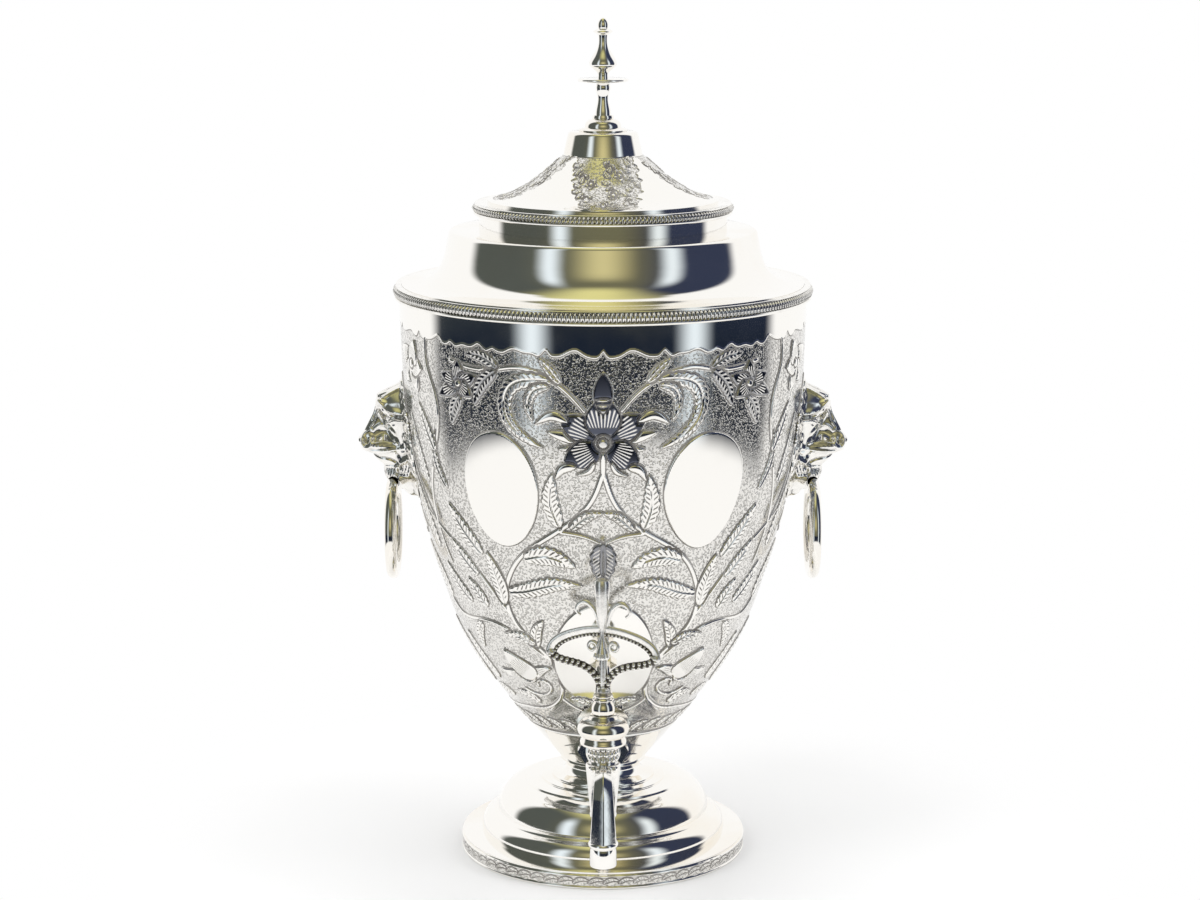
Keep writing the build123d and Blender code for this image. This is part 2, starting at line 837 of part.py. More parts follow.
def tap_bonnet():
    """Rounded cap over the barrel, turning with the plug."""
    bore = key_neck_radius + seat_gap
    inner = barrel_top_radius + loose_gap
    ceiling = barrel_top + loose_gap + seat_gap
    lip = (inner + bonnet_lip, bonnet_low)
    waist = (bonnet_rim_radius - bonnet_waist_inset, bonnet_waist)
    crown = (key_collar_radius + bonnet_crown, bonnet_top)
    under = Polyline((bore, bonnet_top), (bore, ceiling), (inner, ceiling), (inner, bonnet_low), lip)
    rim = ThreePointArc(lip, (bonnet_rim_radius, (bonnet_low + bonnet_waist) / 2), waist)
    bulb = ThreePointArc(waist, (bonnet_radius, (bonnet_waist + bonnet_top) / 2), crown)
    return on_key(lathe(make_face(under + rim + bulb + Line(crown, (bore, bonnet_top)))))


def handle_collar():
    """Turned collar on the plug's neck, where the key begins."""
    low, high = key_top - collar_half_height, collar_top
    recess = key_neck_radius + seat_gap
    outline = closed([
        (recess, low),
        (1.1 * key_collar_radius, low),
        (key_collar_radius, low + 0.28 * collar_half_height),
        (key_collar_radius, high - 0.37 * collar_half_height),
        (1.09 * key_collar_radius, high - 0.22 * collar_half_height),
        (key_collar_radius, high),
        (0, high),
        (0, key_top + seat_gap),
        (recess, key_top + seat_gap),
    ])
    return on_key(lathe(outline))


def bar(points, radius, bend):
    """Round wire along straight runs with rounded corners, in the upright plane of the key."""
    path = FilletPolyline(*[(x, 0, z) for x, z in points], radius=bend)
    start = Plane(origin=path @ 0, z_dir=path % 0)
    return sweep(start * Circle(radius), path)


def arm(side):
    """One beaded arm of the key, rising from the collar to the end of the hoop."""
    points = [
        (0, collar_top + 0.35 * arm_spring),
        (side * 0.04 * arm_reach, collar_top + 0.85 * arm_spring),
        (side * 0.26 * arm_reach, arm_foot + 0.42 * arm_rise),
        (side * 0.62 * arm_reach, arm_foot + 0.68 * arm_rise),
        (side * arm_reach, arm_end),
    ]
    return bar(points, arm_wire, arm_bend)


def hoop():
    """Flat arched band that joins the ends of the arms."""
    outer = Ellipse(arm_reach + hoop_wall / 2, hoop_height)
    inner = Ellipse(arm_reach - hoop_wall / 2, hoop_height - hoop_wall)
    arch = (outer - inner) & Pos(0, hoop_height) * Rectangle(4 * arm_reach, 2 * hoop_height)
    return Pos(0, hoop_width / 2, arm_end) * extrude(Plane.XZ * arch, hoop_width)


def handle_frame():
    """Casting of collar foot, arms, hoop and the post under the grip."""
    frame = rod(key_root_radius, collar_top, collar_top + 0.85 * arm_spring) + arm(1) + arm(-1) + hoop()
    frame += rod(post_radius, collar_top, grip_foot)
    for side in (1, -1):
        frame += Pos(side * arm_reach, 0, arm_end) * Sphere(arm_ball_radius)
    return on_key(frame - grip())


def grip():
    """Fleur-de-lis of the key: turned petal and foot, two scrolls and two volutes."""
    petal_low = grip_waist + 0.3 * petal_rise
    edge = (0.95 * petal_radius, grip_top - petal_edge)
    foot = Line((0, grip_foot), (grip_foot_radius, grip_foot))
    waist = Spline(
        (grip_foot_radius, grip_foot),
        (grip_waist_radius, grip_waist - 0.28 * grip_waist_rise),
        (grip_waist_radius, grip_waist + 0.03 * petal_rise),
        (0.7 * petal_radius, petal_low),
        (petal_radius, grip_waist + 0.57 * petal_rise),
        edge,
    )
    top = Polyline(edge, (0.6 * petal_radius, grip_top), (0, grip_top), (0, grip_foot))
    body = lathe(make_face(foot + waist + top))
    for side in (1, -1):
        scroll = [
            (side * 0.7 * grip_waist_radius, grip_waist),
            (side * 0.87 * petal_radius, grip_waist + 0.54 * scroll_rise),
            (side * 0.5 * scroll_reach, scroll_top),
            (side * scroll_reach, scroll_top - 0.25 * scroll_fall),
            (side * 0.9 * scroll_reach, scroll_top - scroll_fall),
        ]
        volute = [
            (0, grip_foot + 0.62 * grip_waist_rise),
            (side * 0.55 * volute_reach, volute_height + 0.7 * volute_radius),
            (side * volute_reach, volute_height),
        ]
        curl = Rot(90, 0, 0) * Cylinder(volute_radius, volute_width)
        body += bar(scroll, scroll_wire, scroll_bend) + bar(volute, volute_wire, volute_bend)
        body += Pos(side * volute_reach, 0, volute_height) * curl
    return body


def handle_grip():
    """The fleur-de-lis in its place on the key."""
    return on_key(grip())


def save(name, *solids):
    """Write one sub-part, of one solid or of several alike."""
    shape = solids[0] if len(solids) == 1 else Compound(children=list(solids))
    export_step(shape, f"parts/{name}.step")


def main():
    """Build every sub-part and write it."""
    foot_washer, foot_nut = foot_fixings()
    finial_washer, finial_nut = finial_fixings()
    plug_washer, plug_nut = plug_fixings()
    studs, washers, nuts = mask_fixings()
    right_mask = mask()
    singles = {
        "foot_edge_band": foot_edge_band(),
        "foot_shell": foot_shell(),
        "foot_stem": foot_stem(),
        "foot_stud": foot_stud(),
        "foot_washer": foot_washer,
        "foot_nut": foot_nut,
        "vase_shell": vase_shell(),
        "shoulder_shell": shoulder_shell(),
        "shoulder_rim": shoulder_rim(),
        "neck_collar": neck_collar(),
        "lid_rim": lid_rim(),
        "lid_bezel": lid_bezel(),
        "lid_shell": lid_shell(),
        "lid_cap": lid_cap(),
        "finial_base": finial_base(),
        "finial_stem": finial_stem(),
        "finial_disc": finial_disc(),
        "finial_bell": finial_bell(),
        "finial_tip": finial_tip(),
        "finial_rod": finial_rod(),
        "finial_washer": finial_washer,
        "finial_nut": finial_nut,
        "mask_right": right_mask,
        "mask_left": mirror(right_mask, Plane.YZ),
        "ring_right": ring(1),
        "ring_left": ring(-1),
        "core_tube": core_tube(),
        "core_cap": core_cap(),
        "core_cap_knob": core_cap_knob(),
        "core_slug": core_slug(),
        "slug_eye": slug_eye(),
        "tap_escutcheon": tap_escutcheon(),
        "tap_shank": tap_shank(),
        "tap_gasket": tap_gasket(),
        "tap_union": tap_union(),
        "tap_body": tap_body(),
        "spout_nozzle": spout_nozzle(),
        "tap_plug": tap_plug(),
        "plug_washer": plug_washer,
        "plug_nut": plug_nut,
        "tap_bonnet": tap_bonnet(),
        "handle_collar": handle_collar(),
        "handle_frame": handle_frame(),
        "handle_grip": handle_grip(),
    }
    for name, solid in singles.items():
        save(name, solid)
    save("mask_studs", *studs)
    save("mask_washers", *washers)
    save("mask_nuts", *nuts)


main()
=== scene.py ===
# %% [markdown]
# # Dressing a silver-plated urn
# The construction model of the urn holds every piece at its true size and place. This lesson gives the
# pieces that show their real surfaces, one after the other, in the order in which a silversmith makes them:
# sheet is spun on a lathe, the bowl is chased by hand, wire is twisted into ropes, and small parts are
# cast.
# Everything is in the model's own frame, in metres, and the script's own sizes are in millimetres.

import json
from math import atan2, cos, pi, radians, sin, sqrt, tau

import bpy
import numpy as np
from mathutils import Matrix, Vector


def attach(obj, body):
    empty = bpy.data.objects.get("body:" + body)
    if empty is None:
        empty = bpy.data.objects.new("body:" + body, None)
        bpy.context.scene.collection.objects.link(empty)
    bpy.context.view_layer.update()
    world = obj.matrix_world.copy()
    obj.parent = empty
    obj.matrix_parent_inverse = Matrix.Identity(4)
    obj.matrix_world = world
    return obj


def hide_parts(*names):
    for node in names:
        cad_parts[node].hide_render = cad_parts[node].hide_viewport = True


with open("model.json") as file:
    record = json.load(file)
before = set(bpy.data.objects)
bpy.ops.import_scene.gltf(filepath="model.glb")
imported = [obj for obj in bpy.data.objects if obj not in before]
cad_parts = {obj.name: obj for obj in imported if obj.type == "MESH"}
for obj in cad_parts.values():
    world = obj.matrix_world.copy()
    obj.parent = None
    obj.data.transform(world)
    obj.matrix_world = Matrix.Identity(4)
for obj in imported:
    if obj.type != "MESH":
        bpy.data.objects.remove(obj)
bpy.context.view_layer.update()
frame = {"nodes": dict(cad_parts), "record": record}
scene = bpy.context.scene
MM = 0.001

# %% [markdown]
# ## The camera
# The photograph was taken a little from above, from straight in front of the tap. The distance, the tilt and
# the lens together give the urn the same size and the same roundness of its rims as in the photograph.

# %% Set up the camera
camera_distance = 1571.0
camera_height = 544.5
camera_side = -1.7
camera_tilt = 11.16
camera_lens = 83.88
sensor_width = 36.0

bpy.ops.object.camera_add(
    location=(camera_side * MM, -camera_distance * MM, camera_height * MM),
    rotation=(radians(90 - camera_tilt), 0, 0),
)
camera = bpy.context.object
camera.data.lens = camera_lens
camera.data.sensor_width = sensor_width
scene.camera = camera
scene.view_settings.view_transform = "Standard"
print("Camera", camera_distance, "mm in front, tilted", camera_tilt, "degrees down")

# %% [markdown]
# ## Writing shaders as sums
# A shader is a graph of small nodes. A little class that holds one output of a node lets that graph be
# written as ordinary Python: a sum or a product of two outputs adds the Math node that works it out.


# %% A node's output that can be reckoned with
class Signal:
    """One output of a node. Operators on it add Math nodes, and node() adds any other kind of node."""

    def __init__(self, tree, socket=None):
        self.tree = tree
        self.socket = socket

    def node(self, kind, settings=None, inputs=None, output=0):
        """Add a node: its settings first, then the values or links of its sockets."""
        made = self.tree.nodes.new(kind)
        for name, value in (settings or {}).items():
            setattr(made, name, value)
        for name, value in (inputs or {}).items():
            if isinstance(value, Signal):
                self.tree.links.new(value.socket, made.inputs[name])
            else:
                made.inputs[name].default_value = value
        return Signal(self.tree, made.outputs[output] if made.outputs else None)

    def math(self, operation, *values):
        return self.node("ShaderNodeMath", {"operation": operation}, dict(enumerate(values)))

    def __add__(self, other):
        return self.math("ADD", self, other)

    def __sub__(self, other):
        return self.math("SUBTRACT", self, other)

    def __rsub__(self, other):
        return self.math("SUBTRACT", other, self)

    def __mul__(self, other):
        return self.math("MULTIPLY", self, other)

    def __abs__(self):
        return self.math("ABSOLUTE", self)

    __radd__ = __add__
    __rmul__ = __mul__

    def rise(self, low, high):
        """A soft step: 0 up to low, 1 from high on."""
        settings = {"interpolation_type": "SMOOTHSTEP"}
        return self.node("ShaderNodeMapRange", settings, {"Value": self, "From Min": low, "From Max": high})

    def blend(self, first, second):
        """The first colour where the signal is 0, and the second where it is 1."""
        return self.node("ShaderNodeMix", {"data_type": "RGBA"}, {0: self, 6: first, 7: second}, output=2)

    def parts(self):
        """The three numbers of a vector."""
        split = self.tree.nodes.new("ShaderNodeSeparateXYZ")
        self.tree.links.new(self.socket, split.inputs[0])
        return [Signal(self.tree, socket) for socket in split.outputs]


print("Signals ready")

# %% [markdown]
# ## The room that the silver mirrors
# Polished silver has no colour of its own: it shows the room. The photograph was taken on a white table
# against white, with a dim room behind the camera and two tall windows in it. So mirrored rays that go back
# towards the camera meet a dark room with two bright windows, and all others meet white. The camera itself
# sees plain white, and the light that reaches a matt surface is even.

# %% Build the room
room_angle = 108.0
room_edge = 6.0
table_edge_drop = -0.35
table_blur = 0.03
ceiling_slope = 1.0
ceiling_rise = 1.2
ceiling_blur = 0.06
zenith = (0.90, 0.95)
horizon = -0.155
horizon_blur = (0.03, 0.04)
window_angles = (-40.0, 52.0)
window_half = 7.0
window_blur = 7.0
window_reach = 0.88
window_fade = 0.4
left_turn = (-70, 0)
right_turn = (10, 60)
glow_half = 30
glow_height = 0.3
glow_fade = (0.05, 0.36)
lamp_side = 0.05
lamp_half = (0.02, 0.55)
lamp_height = (0.72, 0.96)
wall_left = (0.085, 0.095, 0.085)
wall_middle = (0.16, 0.155, 0.09)
wall_right = (0.033, 0.042, 0.08)
wall_glow = (0.62, 0.56, 0.28)
lamp_glow = (0.74, 0.70, 0.30)
dim_floor = (0.010, 0.016, 0.030)
window_light = (0.84, 0.93, 1.0)
white = (1.0, 1.0, 1.0, 1.0)


def make_room():
    world = bpy.data.worlds.new("room")
    world.use_nodes = True
    scene.world = world
    world.node_tree.nodes.clear()
    start = Signal(world.node_tree)
    x, y, z = start.node("ShaderNodeTexCoord").parts()
    ahead = y * -1.0
    turn = start.math("ARCTAN2", x, ahead) * (180 / pi)
    inside = 1 - abs(turn).rise(room_angle - room_edge, room_angle + room_edge)
    inside = inside.math("MAXIMUM", inside, z.rise(*zenith))
    below = (ahead * ceiling_slope + ceiling_rise - z).rise(-ceiling_blur, ceiling_blur)
    above = z.rise(table_edge_drop - table_blur, table_edge_drop + table_blur)
    wall = turn.rise(*left_turn).blend((*wall_left, 1), (*wall_middle, 1))
    wall = turn.rise(*right_turn).blend(wall, (*wall_right, 1))
    glow = (1 - abs(turn).rise(0, glow_half)) * (1 - abs(z - glow_height).rise(*glow_fade))
    wall = glow.blend(wall, (*wall_glow, 1))
    wall = z.rise(horizon - horizon_blur[0], horizon + horizon_blur[1]).blend((*dim_floor, 1), wall)
    above_urn = (1 - abs(x + lamp_side).rise(*lamp_half)) * z.rise(*lamp_height)
    wall = above_urn.blend(wall, (*lamp_glow, 1))
    bright = 0
    for angle in window_angles:
        bright = (1 - abs(turn - angle).rise(window_half - window_blur, window_half + window_blur)) + bright
    bright = bright * (1 - abs(z).rise(window_reach - window_fade, window_reach))
    wall = bright.blend(wall, (*window_light, 1))
    mirrored = (inside * below * above).blend(white, wall)
    glossy = start.node("ShaderNodeLightPath", output="Is Glossy Ray")
    seen = {"Color": glossy.blend(white, mirrored), "Strength": 1.0}
    background = start.node("ShaderNodeBackground", None, seen)
    start.node("ShaderNodeOutputWorld", None, {"Surface": background})


make_room()
print("Room: dark for", 2 * room_angle, "degrees round the camera, windows at", window_angles)

# %% [markdown]
# ## The table and the lamps
# The urn stands on a round white sheet. The sheet ends where the mirrored dark room begins, about a foot
# in front of the urn, which is where the photograph's silver turns dark. Two large soft lamps only lift
# the light on the sheet a little, so that the foot keeps a faint shadow.

# %% Lay the sheet and hang the lamps
sheet_radius = 310.0
sheet_fade = (190.0, 300.0)
sheet_drop = 0.2
sheet_colour = (0.93, 0.93, 0.93)
lamp_size = 900
lamp_aim = (0, 0, 200)


def added(name):
    """The piece that an operator has just added, with its name."""
    piece = bpy.context.object
    piece.name = name
    return piece


def make_table():
    bpy.ops.object.select_all(action="DESELECT")
    bpy.ops.mesh.primitive_circle_add(
        vertices=160, radius=sheet_radius * MM, fill_type="NGON", location=(0, 0, -sheet_drop * MM)
    )
    table = added("table")
    paper = bpy.data.materials.new("white_sheet")
    paper.use_nodes = True
    start = Signal(paper.node_tree)
    shader = paper.node_tree.nodes["Principled BSDF"]
    shader.inputs["Roughness"].default_value = 0.9
    shader.inputs["Specular IOR Level"].default_value = 0.0
    shader.inputs["Base Color"].default_value = (*sheet_colour, 1)
    x, y, z = start.node("ShaderNodeTexCoord", output=3).parts()
    far = start.math("SQRT", x * x + y * y).rise(sheet_fade[0] * MM, sheet_fade[1] * MM)
    glow = start.node("ShaderNodeEmission", None, {"Color": white, "Strength": 1.0})
    surface = Signal(paper.node_tree, shader.outputs[0])
    mixed = start.node("ShaderNodeMixShader", None, {0: far, 1: surface, 2: glow})
    output = paper.node_tree.nodes["Material Output"]
    paper.node_tree.links.new(mixed.socket, output.inputs["Surface"])
    table.data.materials.append(paper)


def hang_lamp(name, place, power):
    bpy.ops.object.light_add(type="AREA", location=[c * MM for c in place])
    lamp = added(name)
    lamp.data.size = lamp_size * MM
    lamp.data.energy = power
    lamp.visible_glossy = False
    lamp.rotation_euler = (Vector(lamp_aim) - Vector(place)).to_track_quat("-Z", "Y").to_euler()


make_table()
hang_lamp("left_lamp", (-1300, -900, 1700), 9)
hang_lamp("right_lamp", (1500, -300, 1500), 6)
print("Table of", 2 * sheet_radius, "mm and two lamps")

# %% [markdown]
# ## Finishes
# Every silver finish is a Principled shader at full metallic, apart from the darkest lines of the chasing and
# the painted highlights on the rays of dark petals, and what tells them apart is what varies over the
# surface.
# Polished plate has faint rings from the lathe and a warm breath of tarnish. Cast and chased work is darkened
# in its hollows: the oxide that no polishing cloth reaches, and on the cast work painted shade as well. The
# hollows come from attributes on the meshes, and the rest from noise in the piece's own coordinates.

# %% Shared parts of the finishes
silver_bright = (0.965, 0.945, 0.905)
silver_warm = (0.93, 0.875, 0.785)
# Dark colour for the oxide in hollows and for the painted shade there.
oxide_and_shade = (0.075, 0.062, 0.05)


def new_finish(name, roughness=0.1, metallic=1.0):
    material = bpy.data.materials.new(name)
    material.use_nodes = True
    shader = material.node_tree.nodes["Principled BSDF"]
    shader.inputs["Metallic"].default_value = metallic
    shader.inputs["Roughness"].default_value = roughness
    return material, Signal(material.node_tree), shader


def feed(shader, name, signal):
    signal.tree.links.new(signal.socket, shader.inputs[name])


def place_of(start, stretch=(1, 1, 1)):
    """Object coordinates, stretched."""
    coordinates = start.node("ShaderNodeTexCoord", output=3)
    return start.node("ShaderNodeMapping", None, {"Vector": coordinates, "Scale": stretch})


def noise(start, scale, detail=3.0, stretch=(1, 1, 1)):
    inputs = {"Vector": place_of(start, stretch), "Scale": scale, "Detail": detail}
    return start.node("ShaderNodeTexNoise", None, inputs)


def attribute(start, name):
    return start.node("ShaderNodeAttribute", {"attribute_name": name}, output=2)


def bump(height, reach):
    """A normal that follows a height, where a height of 1 stands reach millimetres proud."""
    inputs = {"Height": height, "Distance": reach * MM}
    return height.node("ShaderNodeBump", None, inputs)


print("Bright silver", silver_bright, "and the oxide in its hollows", oxide_and_shade)


# %% Polished and cast silver
def polished_silver():
    material, start, shader = new_finish("polished_silver")
    breath = noise(start, 14.0).rise(0.45, 0.75)
    feed(shader, "Base Color", breath.blend((*silver_bright, 1), (*silver_warm, 1)))
    rings = noise(start, 900.0, 2.0, (0.02, 0.02, 1.0))
    wear = noise(start, 60.0)
    feed(shader, "Roughness", wear * 0.07 + rings * 0.05 + 0.015)
    dents = noise(start, 9.0, 1.0)
    feed(shader, "Normal", bump(dents * 30.0 + rings, 0.006))
    return material


def cast_silver(name, dull, grain):
    """Cast metal: dull is its roughness, and grain how deep its sand-cast skin is, in millimetres."""
    material, start, shader = new_finish(name)
    hollow = attribute(start, "hollow")
    stain = noise(start, 160.0).rise(0.4, 0.8)
    # Hollows are darkened: oxide, and painted shade where little light falls; the stain is real and random.
    dark = hollow * 1.15 + stain * 0.14
    dark = dark.math("MINIMUM", dark, 1.0)
    feed(shader, "Base Color", dark.blend((*silver_bright, 1), (*oxide_and_shade, 1)))
    feed(shader, "Roughness", dark * 0.35 + dull)
    feed(shader, "Normal", bump(noise(start, 420.0), grain))
    return material


silver = polished_silver()
cast = cast_silver("cast_silver", 0.1, 0.04)
worn = cast_silver("worn_cast_silver", 0.24, 0.09)
print("Finishes:", silver.name, cast.name, worn.name)

# %% [markdown]
# ## The chased finish
# Chased silver shows three things at once: the line that the chaser's liner leaves round each shape, which
# the finish darkens, the cuts that slant across a leaf, and the specks of the punched ground. They could be
# painted in a picture, but a picture would blur close by. Here the bowl's mesh carries four numbers on each
# point, and
# the finish reads them: edge says how far inside a shape the point lies, stroke and phase place the cuts, and
# the fourth number paints a dark reflection of the dim room onto a petal, with painted highlights on its
# rays.

# %% Chased silver
line_half = 0.42
cut_share = 0.15
punch_scale = 820.0
punch_depth = 0.19
vein_depth = 0.22
# Dark colour of the dim room's painted reflection on some petals and leaves.
painted_reflection_colour = (0.05, 0.06, 0.095)
painted_ray_share = (0.15, 0.27)
line_dark_share = 0.65
ground_dim = 0.14


def chased_silver():
    material, start, shader = new_finish("chased_silver")
    edge = attribute(start, "edge")
    stroke = attribute(start, "stroke")
    phase = attribute(start, "phase")
    line = 1 - abs(edge).rise(0.14, line_half)
    fold = phase.math("PINGPONG", phase, 0.5)
    vein = stroke.rise(0.2, 0.5) * (1 - fold.rise(cut_share * 0.6, cut_share * 1.3))
    # The fourth number paints the dim room's reflection onto petals as a dark colour.
    tone = attribute(start, "tone")
    cut = line.math("MAXIMUM", line, vein * stroke.rise(0.35, 0.9) * (1 - tone))
    ground = 1 - edge.rise(-0.5, -0.15)
    specks = noise(start, punch_scale, 1.0).rise(0.51, 0.61) * ground
    wear = noise(start, 45.0, 2.0).rise(0.3, 0.7)
    # Lines, cuts, punched specks and the ground are darkened in colour, and the lines lose some metal.
    dark = cut * (wear * 0.25 + 0.65) + specks * (wear * 0.1 + 0.2) + ground * ground_dim
    dark = dark.math("MINIMUM", dark, 1.0)
    plain = dark.blend((*silver_bright, 1), (*oxide_and_shade, 1))
    # Painted highlights along the rays of those dark petals: bright colour, with less metal.
    painted_ray_highlight = tone.rise(0.1, 0.3) * stroke.rise(0.2, 0.5) * (1 - fold.rise(*painted_ray_share))
    feed(shader, "Base Color", (tone * (1 - painted_ray_highlight)).blend(plain, (*painted_reflection_colour, 1)))
    feed(shader, "Metallic", 1 - painted_ray_highlight.math("MAXIMUM", painted_ray_highlight * 0.8, cut * line_dark_share))
    feed(shader, "Roughness", ground * 0.06 + cut * 0.2 + vein * 0.55 + wear * 0.05 + 0.04)
    feed(shader, "Normal", bump(0 - vein * vein_depth - specks * punch_depth - line * 0.15, 1.0))
    return material


chased = chased_silver()
print("Chased finish: lines", 2 * line_half, "mm wide, ground punched", punch_depth, "mm deep")


# %% [markdown]
# ## The metals inside, and leather
# Under the silver the urn is copper, tinned on the inside, with brass nuts and studs, a cast iron core and a
# leather gasket. Each needs only two colours that run into each other in patches, so one function makes all
# four. Every construction piece then gets the finish of its slot. One with chased silver gets polished silver
# instead, because its mesh carries none of the numbers that the chased finish reads.

# %% Plain metals inside, and leather
def plain_finish(name, colour, second, roughness, metallic=1.0, grain=150.0):
    material, start, shader = new_finish(name, roughness, metallic)
    patches = noise(start, grain).rise(0.3, 0.75)
    feed(shader, "Base Color", patches.blend((*colour, 1), (*second, 1)))
    feed(shader, "Roughness", patches * 0.15 + roughness)
    feed(shader, "Normal", bump(noise(start, 6 * grain), 0.04))
    return material


tinned = plain_finish("tinned_copper", (0.72, 0.71, 0.69), (0.60, 0.56, 0.50), 0.32)
brass = plain_finish("turned_brass", (0.80, 0.62, 0.32), (0.55, 0.38, 0.18), 0.28)
iron = plain_finish("cast_iron", (0.055, 0.05, 0.048), (0.11, 0.06, 0.04), 0.62, 0.6)
leather = plain_finish("oiled_leather", (0.12, 0.06, 0.03), (0.05, 0.025, 0.015), 0.6, 0.0)

by_slot = {
    "silver_plate": silver,
    "chased_silver": chased,
    "tinned_copper": tinned,
    "turned_brass": brass,
    "cast_iron": iron,
    "leather": leather,
}
slots = {part["node"]: part["material_slot"] for part in frame["record"]["subparts"]}
for name, node in frame["nodes"].items():
    node.data.materials.clear()
    node.data.materials.append(by_slot[slots[name]] if slots[name] != "chased_silver" else silver)
print("Construction pieces finished:", len(slots))

# %% [markdown]
# ## Turning an outline
# Most of the urn is spun sheet or turned rod. On screen the same is done with the Spin tool: an outline of a
# few points and arcs is drawn beside the axis by extruding a single point, and the tool turns it round. A
# sheet has a wall, so the outline goes up its outside and comes back down its inside.


# %% Helpers for outlines
def arc(start, middle, end, steps=10):
    """Points on the circle from start through middle to end, without the start."""
    (ax, ay), (bx, by), (cx, cy) = start, middle, end
    d = 2 * (ax * (by - cy) + bx * (cy - ay) + cx * (ay - by))
    a2, b2, c2 = ax * ax + ay * ay, bx * bx + by * by, cx * cx + cy * cy
    ux = (a2 * (by - cy) + b2 * (cy - ay) + c2 * (ay - by)) / d
    uy = (a2 * (cx - bx) + b2 * (ax - cx) + c2 * (bx - ax)) / d
    first, mid, last = [atan2(y - uy, x - ux) for x, y in (start, middle, end)]
    ahead = (last - first) % tau
    sweep = ahead if (mid - first) % tau <= ahead else ahead - tau
    radius = ((ax - ux) ** 2 + (ay - uy) ** 2) ** 0.5
    turns = [first + sweep * i / steps for i in range(1, steps + 1)]
    return [(ux + radius * cos(turn), uy + radius * sin(turn)) for turn in turns]


def flow(points, steps=8):
    """Points along the smoothest curve through the given ones, in two or three dimensions."""
    given = np.array(points, float)
    run = np.concatenate([[0], np.cumsum(np.linalg.norm(np.diff(given, axis=0), axis=1))])
    gap = np.diff(run)
    count = len(given)
    matrix = np.eye(count)
    right = np.zeros(given.shape)
    for i in range(1, count - 1):
        matrix[i, i - 1], matrix[i, i], matrix[i, i + 1] = gap[i - 1], 2 * (gap[i - 1] + gap[i]), gap[i]
        right[i] = 6 * ((given[i + 1] - given[i]) / gap[i] - (given[i] - given[i - 1]) / gap[i - 1])
    bend = np.linalg.solve(matrix, right)
    at = np.linspace(0, run[-1], steps * (count - 1) + 1)
    span = np.clip(np.searchsorted(run, at, side="right") - 1, 0, count - 2)
    width = gap[span, None]
    past, left = (at - run[span])[:, None], (run[span + 1] - at)[:, None]
    curve = bend[span] * left**3 / (6 * width) + bend[span + 1] * past**3 / (6 * width)
    curve += (given[span] / width - bend[span] * width / 6) * left
    return curve + (given[span + 1] / width - bend[span + 1] * width / 6) * past


def walled(line, wall):
    """Closed outline of a sheet: the line, and the same line moved to its left by the wall."""
    line = np.array(line, float)
    along = np.gradient(line, axis=0)
    along /= np.linalg.norm(along, axis=1)[:, None]
    inner = line + wall * np.column_stack([-along[:, 1], along[:, 0]])
    return [*map(tuple, line), *map(tuple, inner[::-1]), tuple(line[0])]


print("A quarter circle in ten steps:", len(arc((1, 0), (cos(pi / 4), sin(pi / 4)), (0, 1))), "points")


# %% The spin itself
def only(piece):
    bpy.ops.object.select_all(action="DESELECT")
    piece.select_set(True)
    bpy.context.view_layer.objects.active = piece


def spun(name, outline, steps=240, axis_at=(0, 0)):
    """Turn a closed outline of (radius, height) points, in millimetres, about an upright axis."""
    bpy.ops.object.select_all(action="DESELECT")
    bpy.ops.mesh.primitive_plane_add(size=MM)
    piece = added(name)
    bpy.ops.object.mode_set(mode="EDIT")
    bpy.ops.mesh.merge(type="CENTER")
    here = (0.0, 0.0)
    for number, (radius, height) in enumerate(outline):
        step = ((radius - here[0]) * MM, 0, (height - here[1]) * MM)
        if number == 0:
            bpy.ops.transform.translate(value=step)
        else:
            bpy.ops.mesh.extrude_region_move(TRANSFORM_OT_translate={"value": step})
        here = (radius, height)
    bpy.ops.mesh.select_all(action="SELECT")
    bpy.ops.mesh.spin(steps=steps, angle=tau, center=(0, 0, 0), axis=(0, 0, 1))
    bpy.ops.mesh.select_all(action="SELECT")
    bpy.ops.mesh.remove_doubles(threshold=0.002 * MM)
    bpy.ops.mesh.normals_make_consistent(inside=False)
    bpy.ops.transform.translate(value=(axis_at[0] * MM, axis_at[1] * MM, 0))
    bpy.ops.object.mode_set(mode="OBJECT")
    bpy.ops.object.shade_smooth_by_angle(angle=radians(32))
    return piece


print("Spinning ready: a new piece starts as a single point on the axis")

# %% [markdown]
# ## What every piece needs
# Some pieces are shaped point by point after they are made, so four short helpers read and move the points
# of a mesh and keep numbers on them. At its end every piece is settled: its place goes into its mesh, it gets
# its finish, it is told which body it rides on, and the construction pieces that it stands for are hidden.


# %% Points, numbers and the end of a piece
def points_of(piece):
    """Places of a piece's points, in millimetres."""
    flat = np.empty(len(piece.data.vertices) * 3)
    piece.data.vertices.foreach_get("co", flat)
    return flat.reshape(-1, 3) / MM


def normals_of(piece):
    flat = np.empty(len(piece.data.vertices) * 3)
    piece.data.vertices.foreach_get("normal", flat)
    return flat.reshape(-1, 3)


def move_points(piece, places):
    """Put a piece's points at places in millimetres."""
    piece.data.vertices.foreach_set("co", (places * MM).ravel())


def keep_number(piece, kind, values):
    """Keep a number on every point of a piece, which its finish reads."""
    kept = piece.data.attributes.new(kind, "FLOAT", "POINT")
    kept.data.foreach_set("value", values.astype(np.float32))


def settle(piece, material, body, slot, *nodes):
    """Finish a piece: its surface, the body that it rides on and the nodes that it stands for; slot is not
    used.
    """
    only(piece)
    bpy.ops.object.transform_apply(location=True, rotation=True, scale=True)
    piece.data.materials.clear()
    piece.data.materials.append(material)
    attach(piece, body)
    if nodes:
        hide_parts(*nodes)
    print(piece.name, "has", len(piece.data.polygons), "faces and rides on", body)


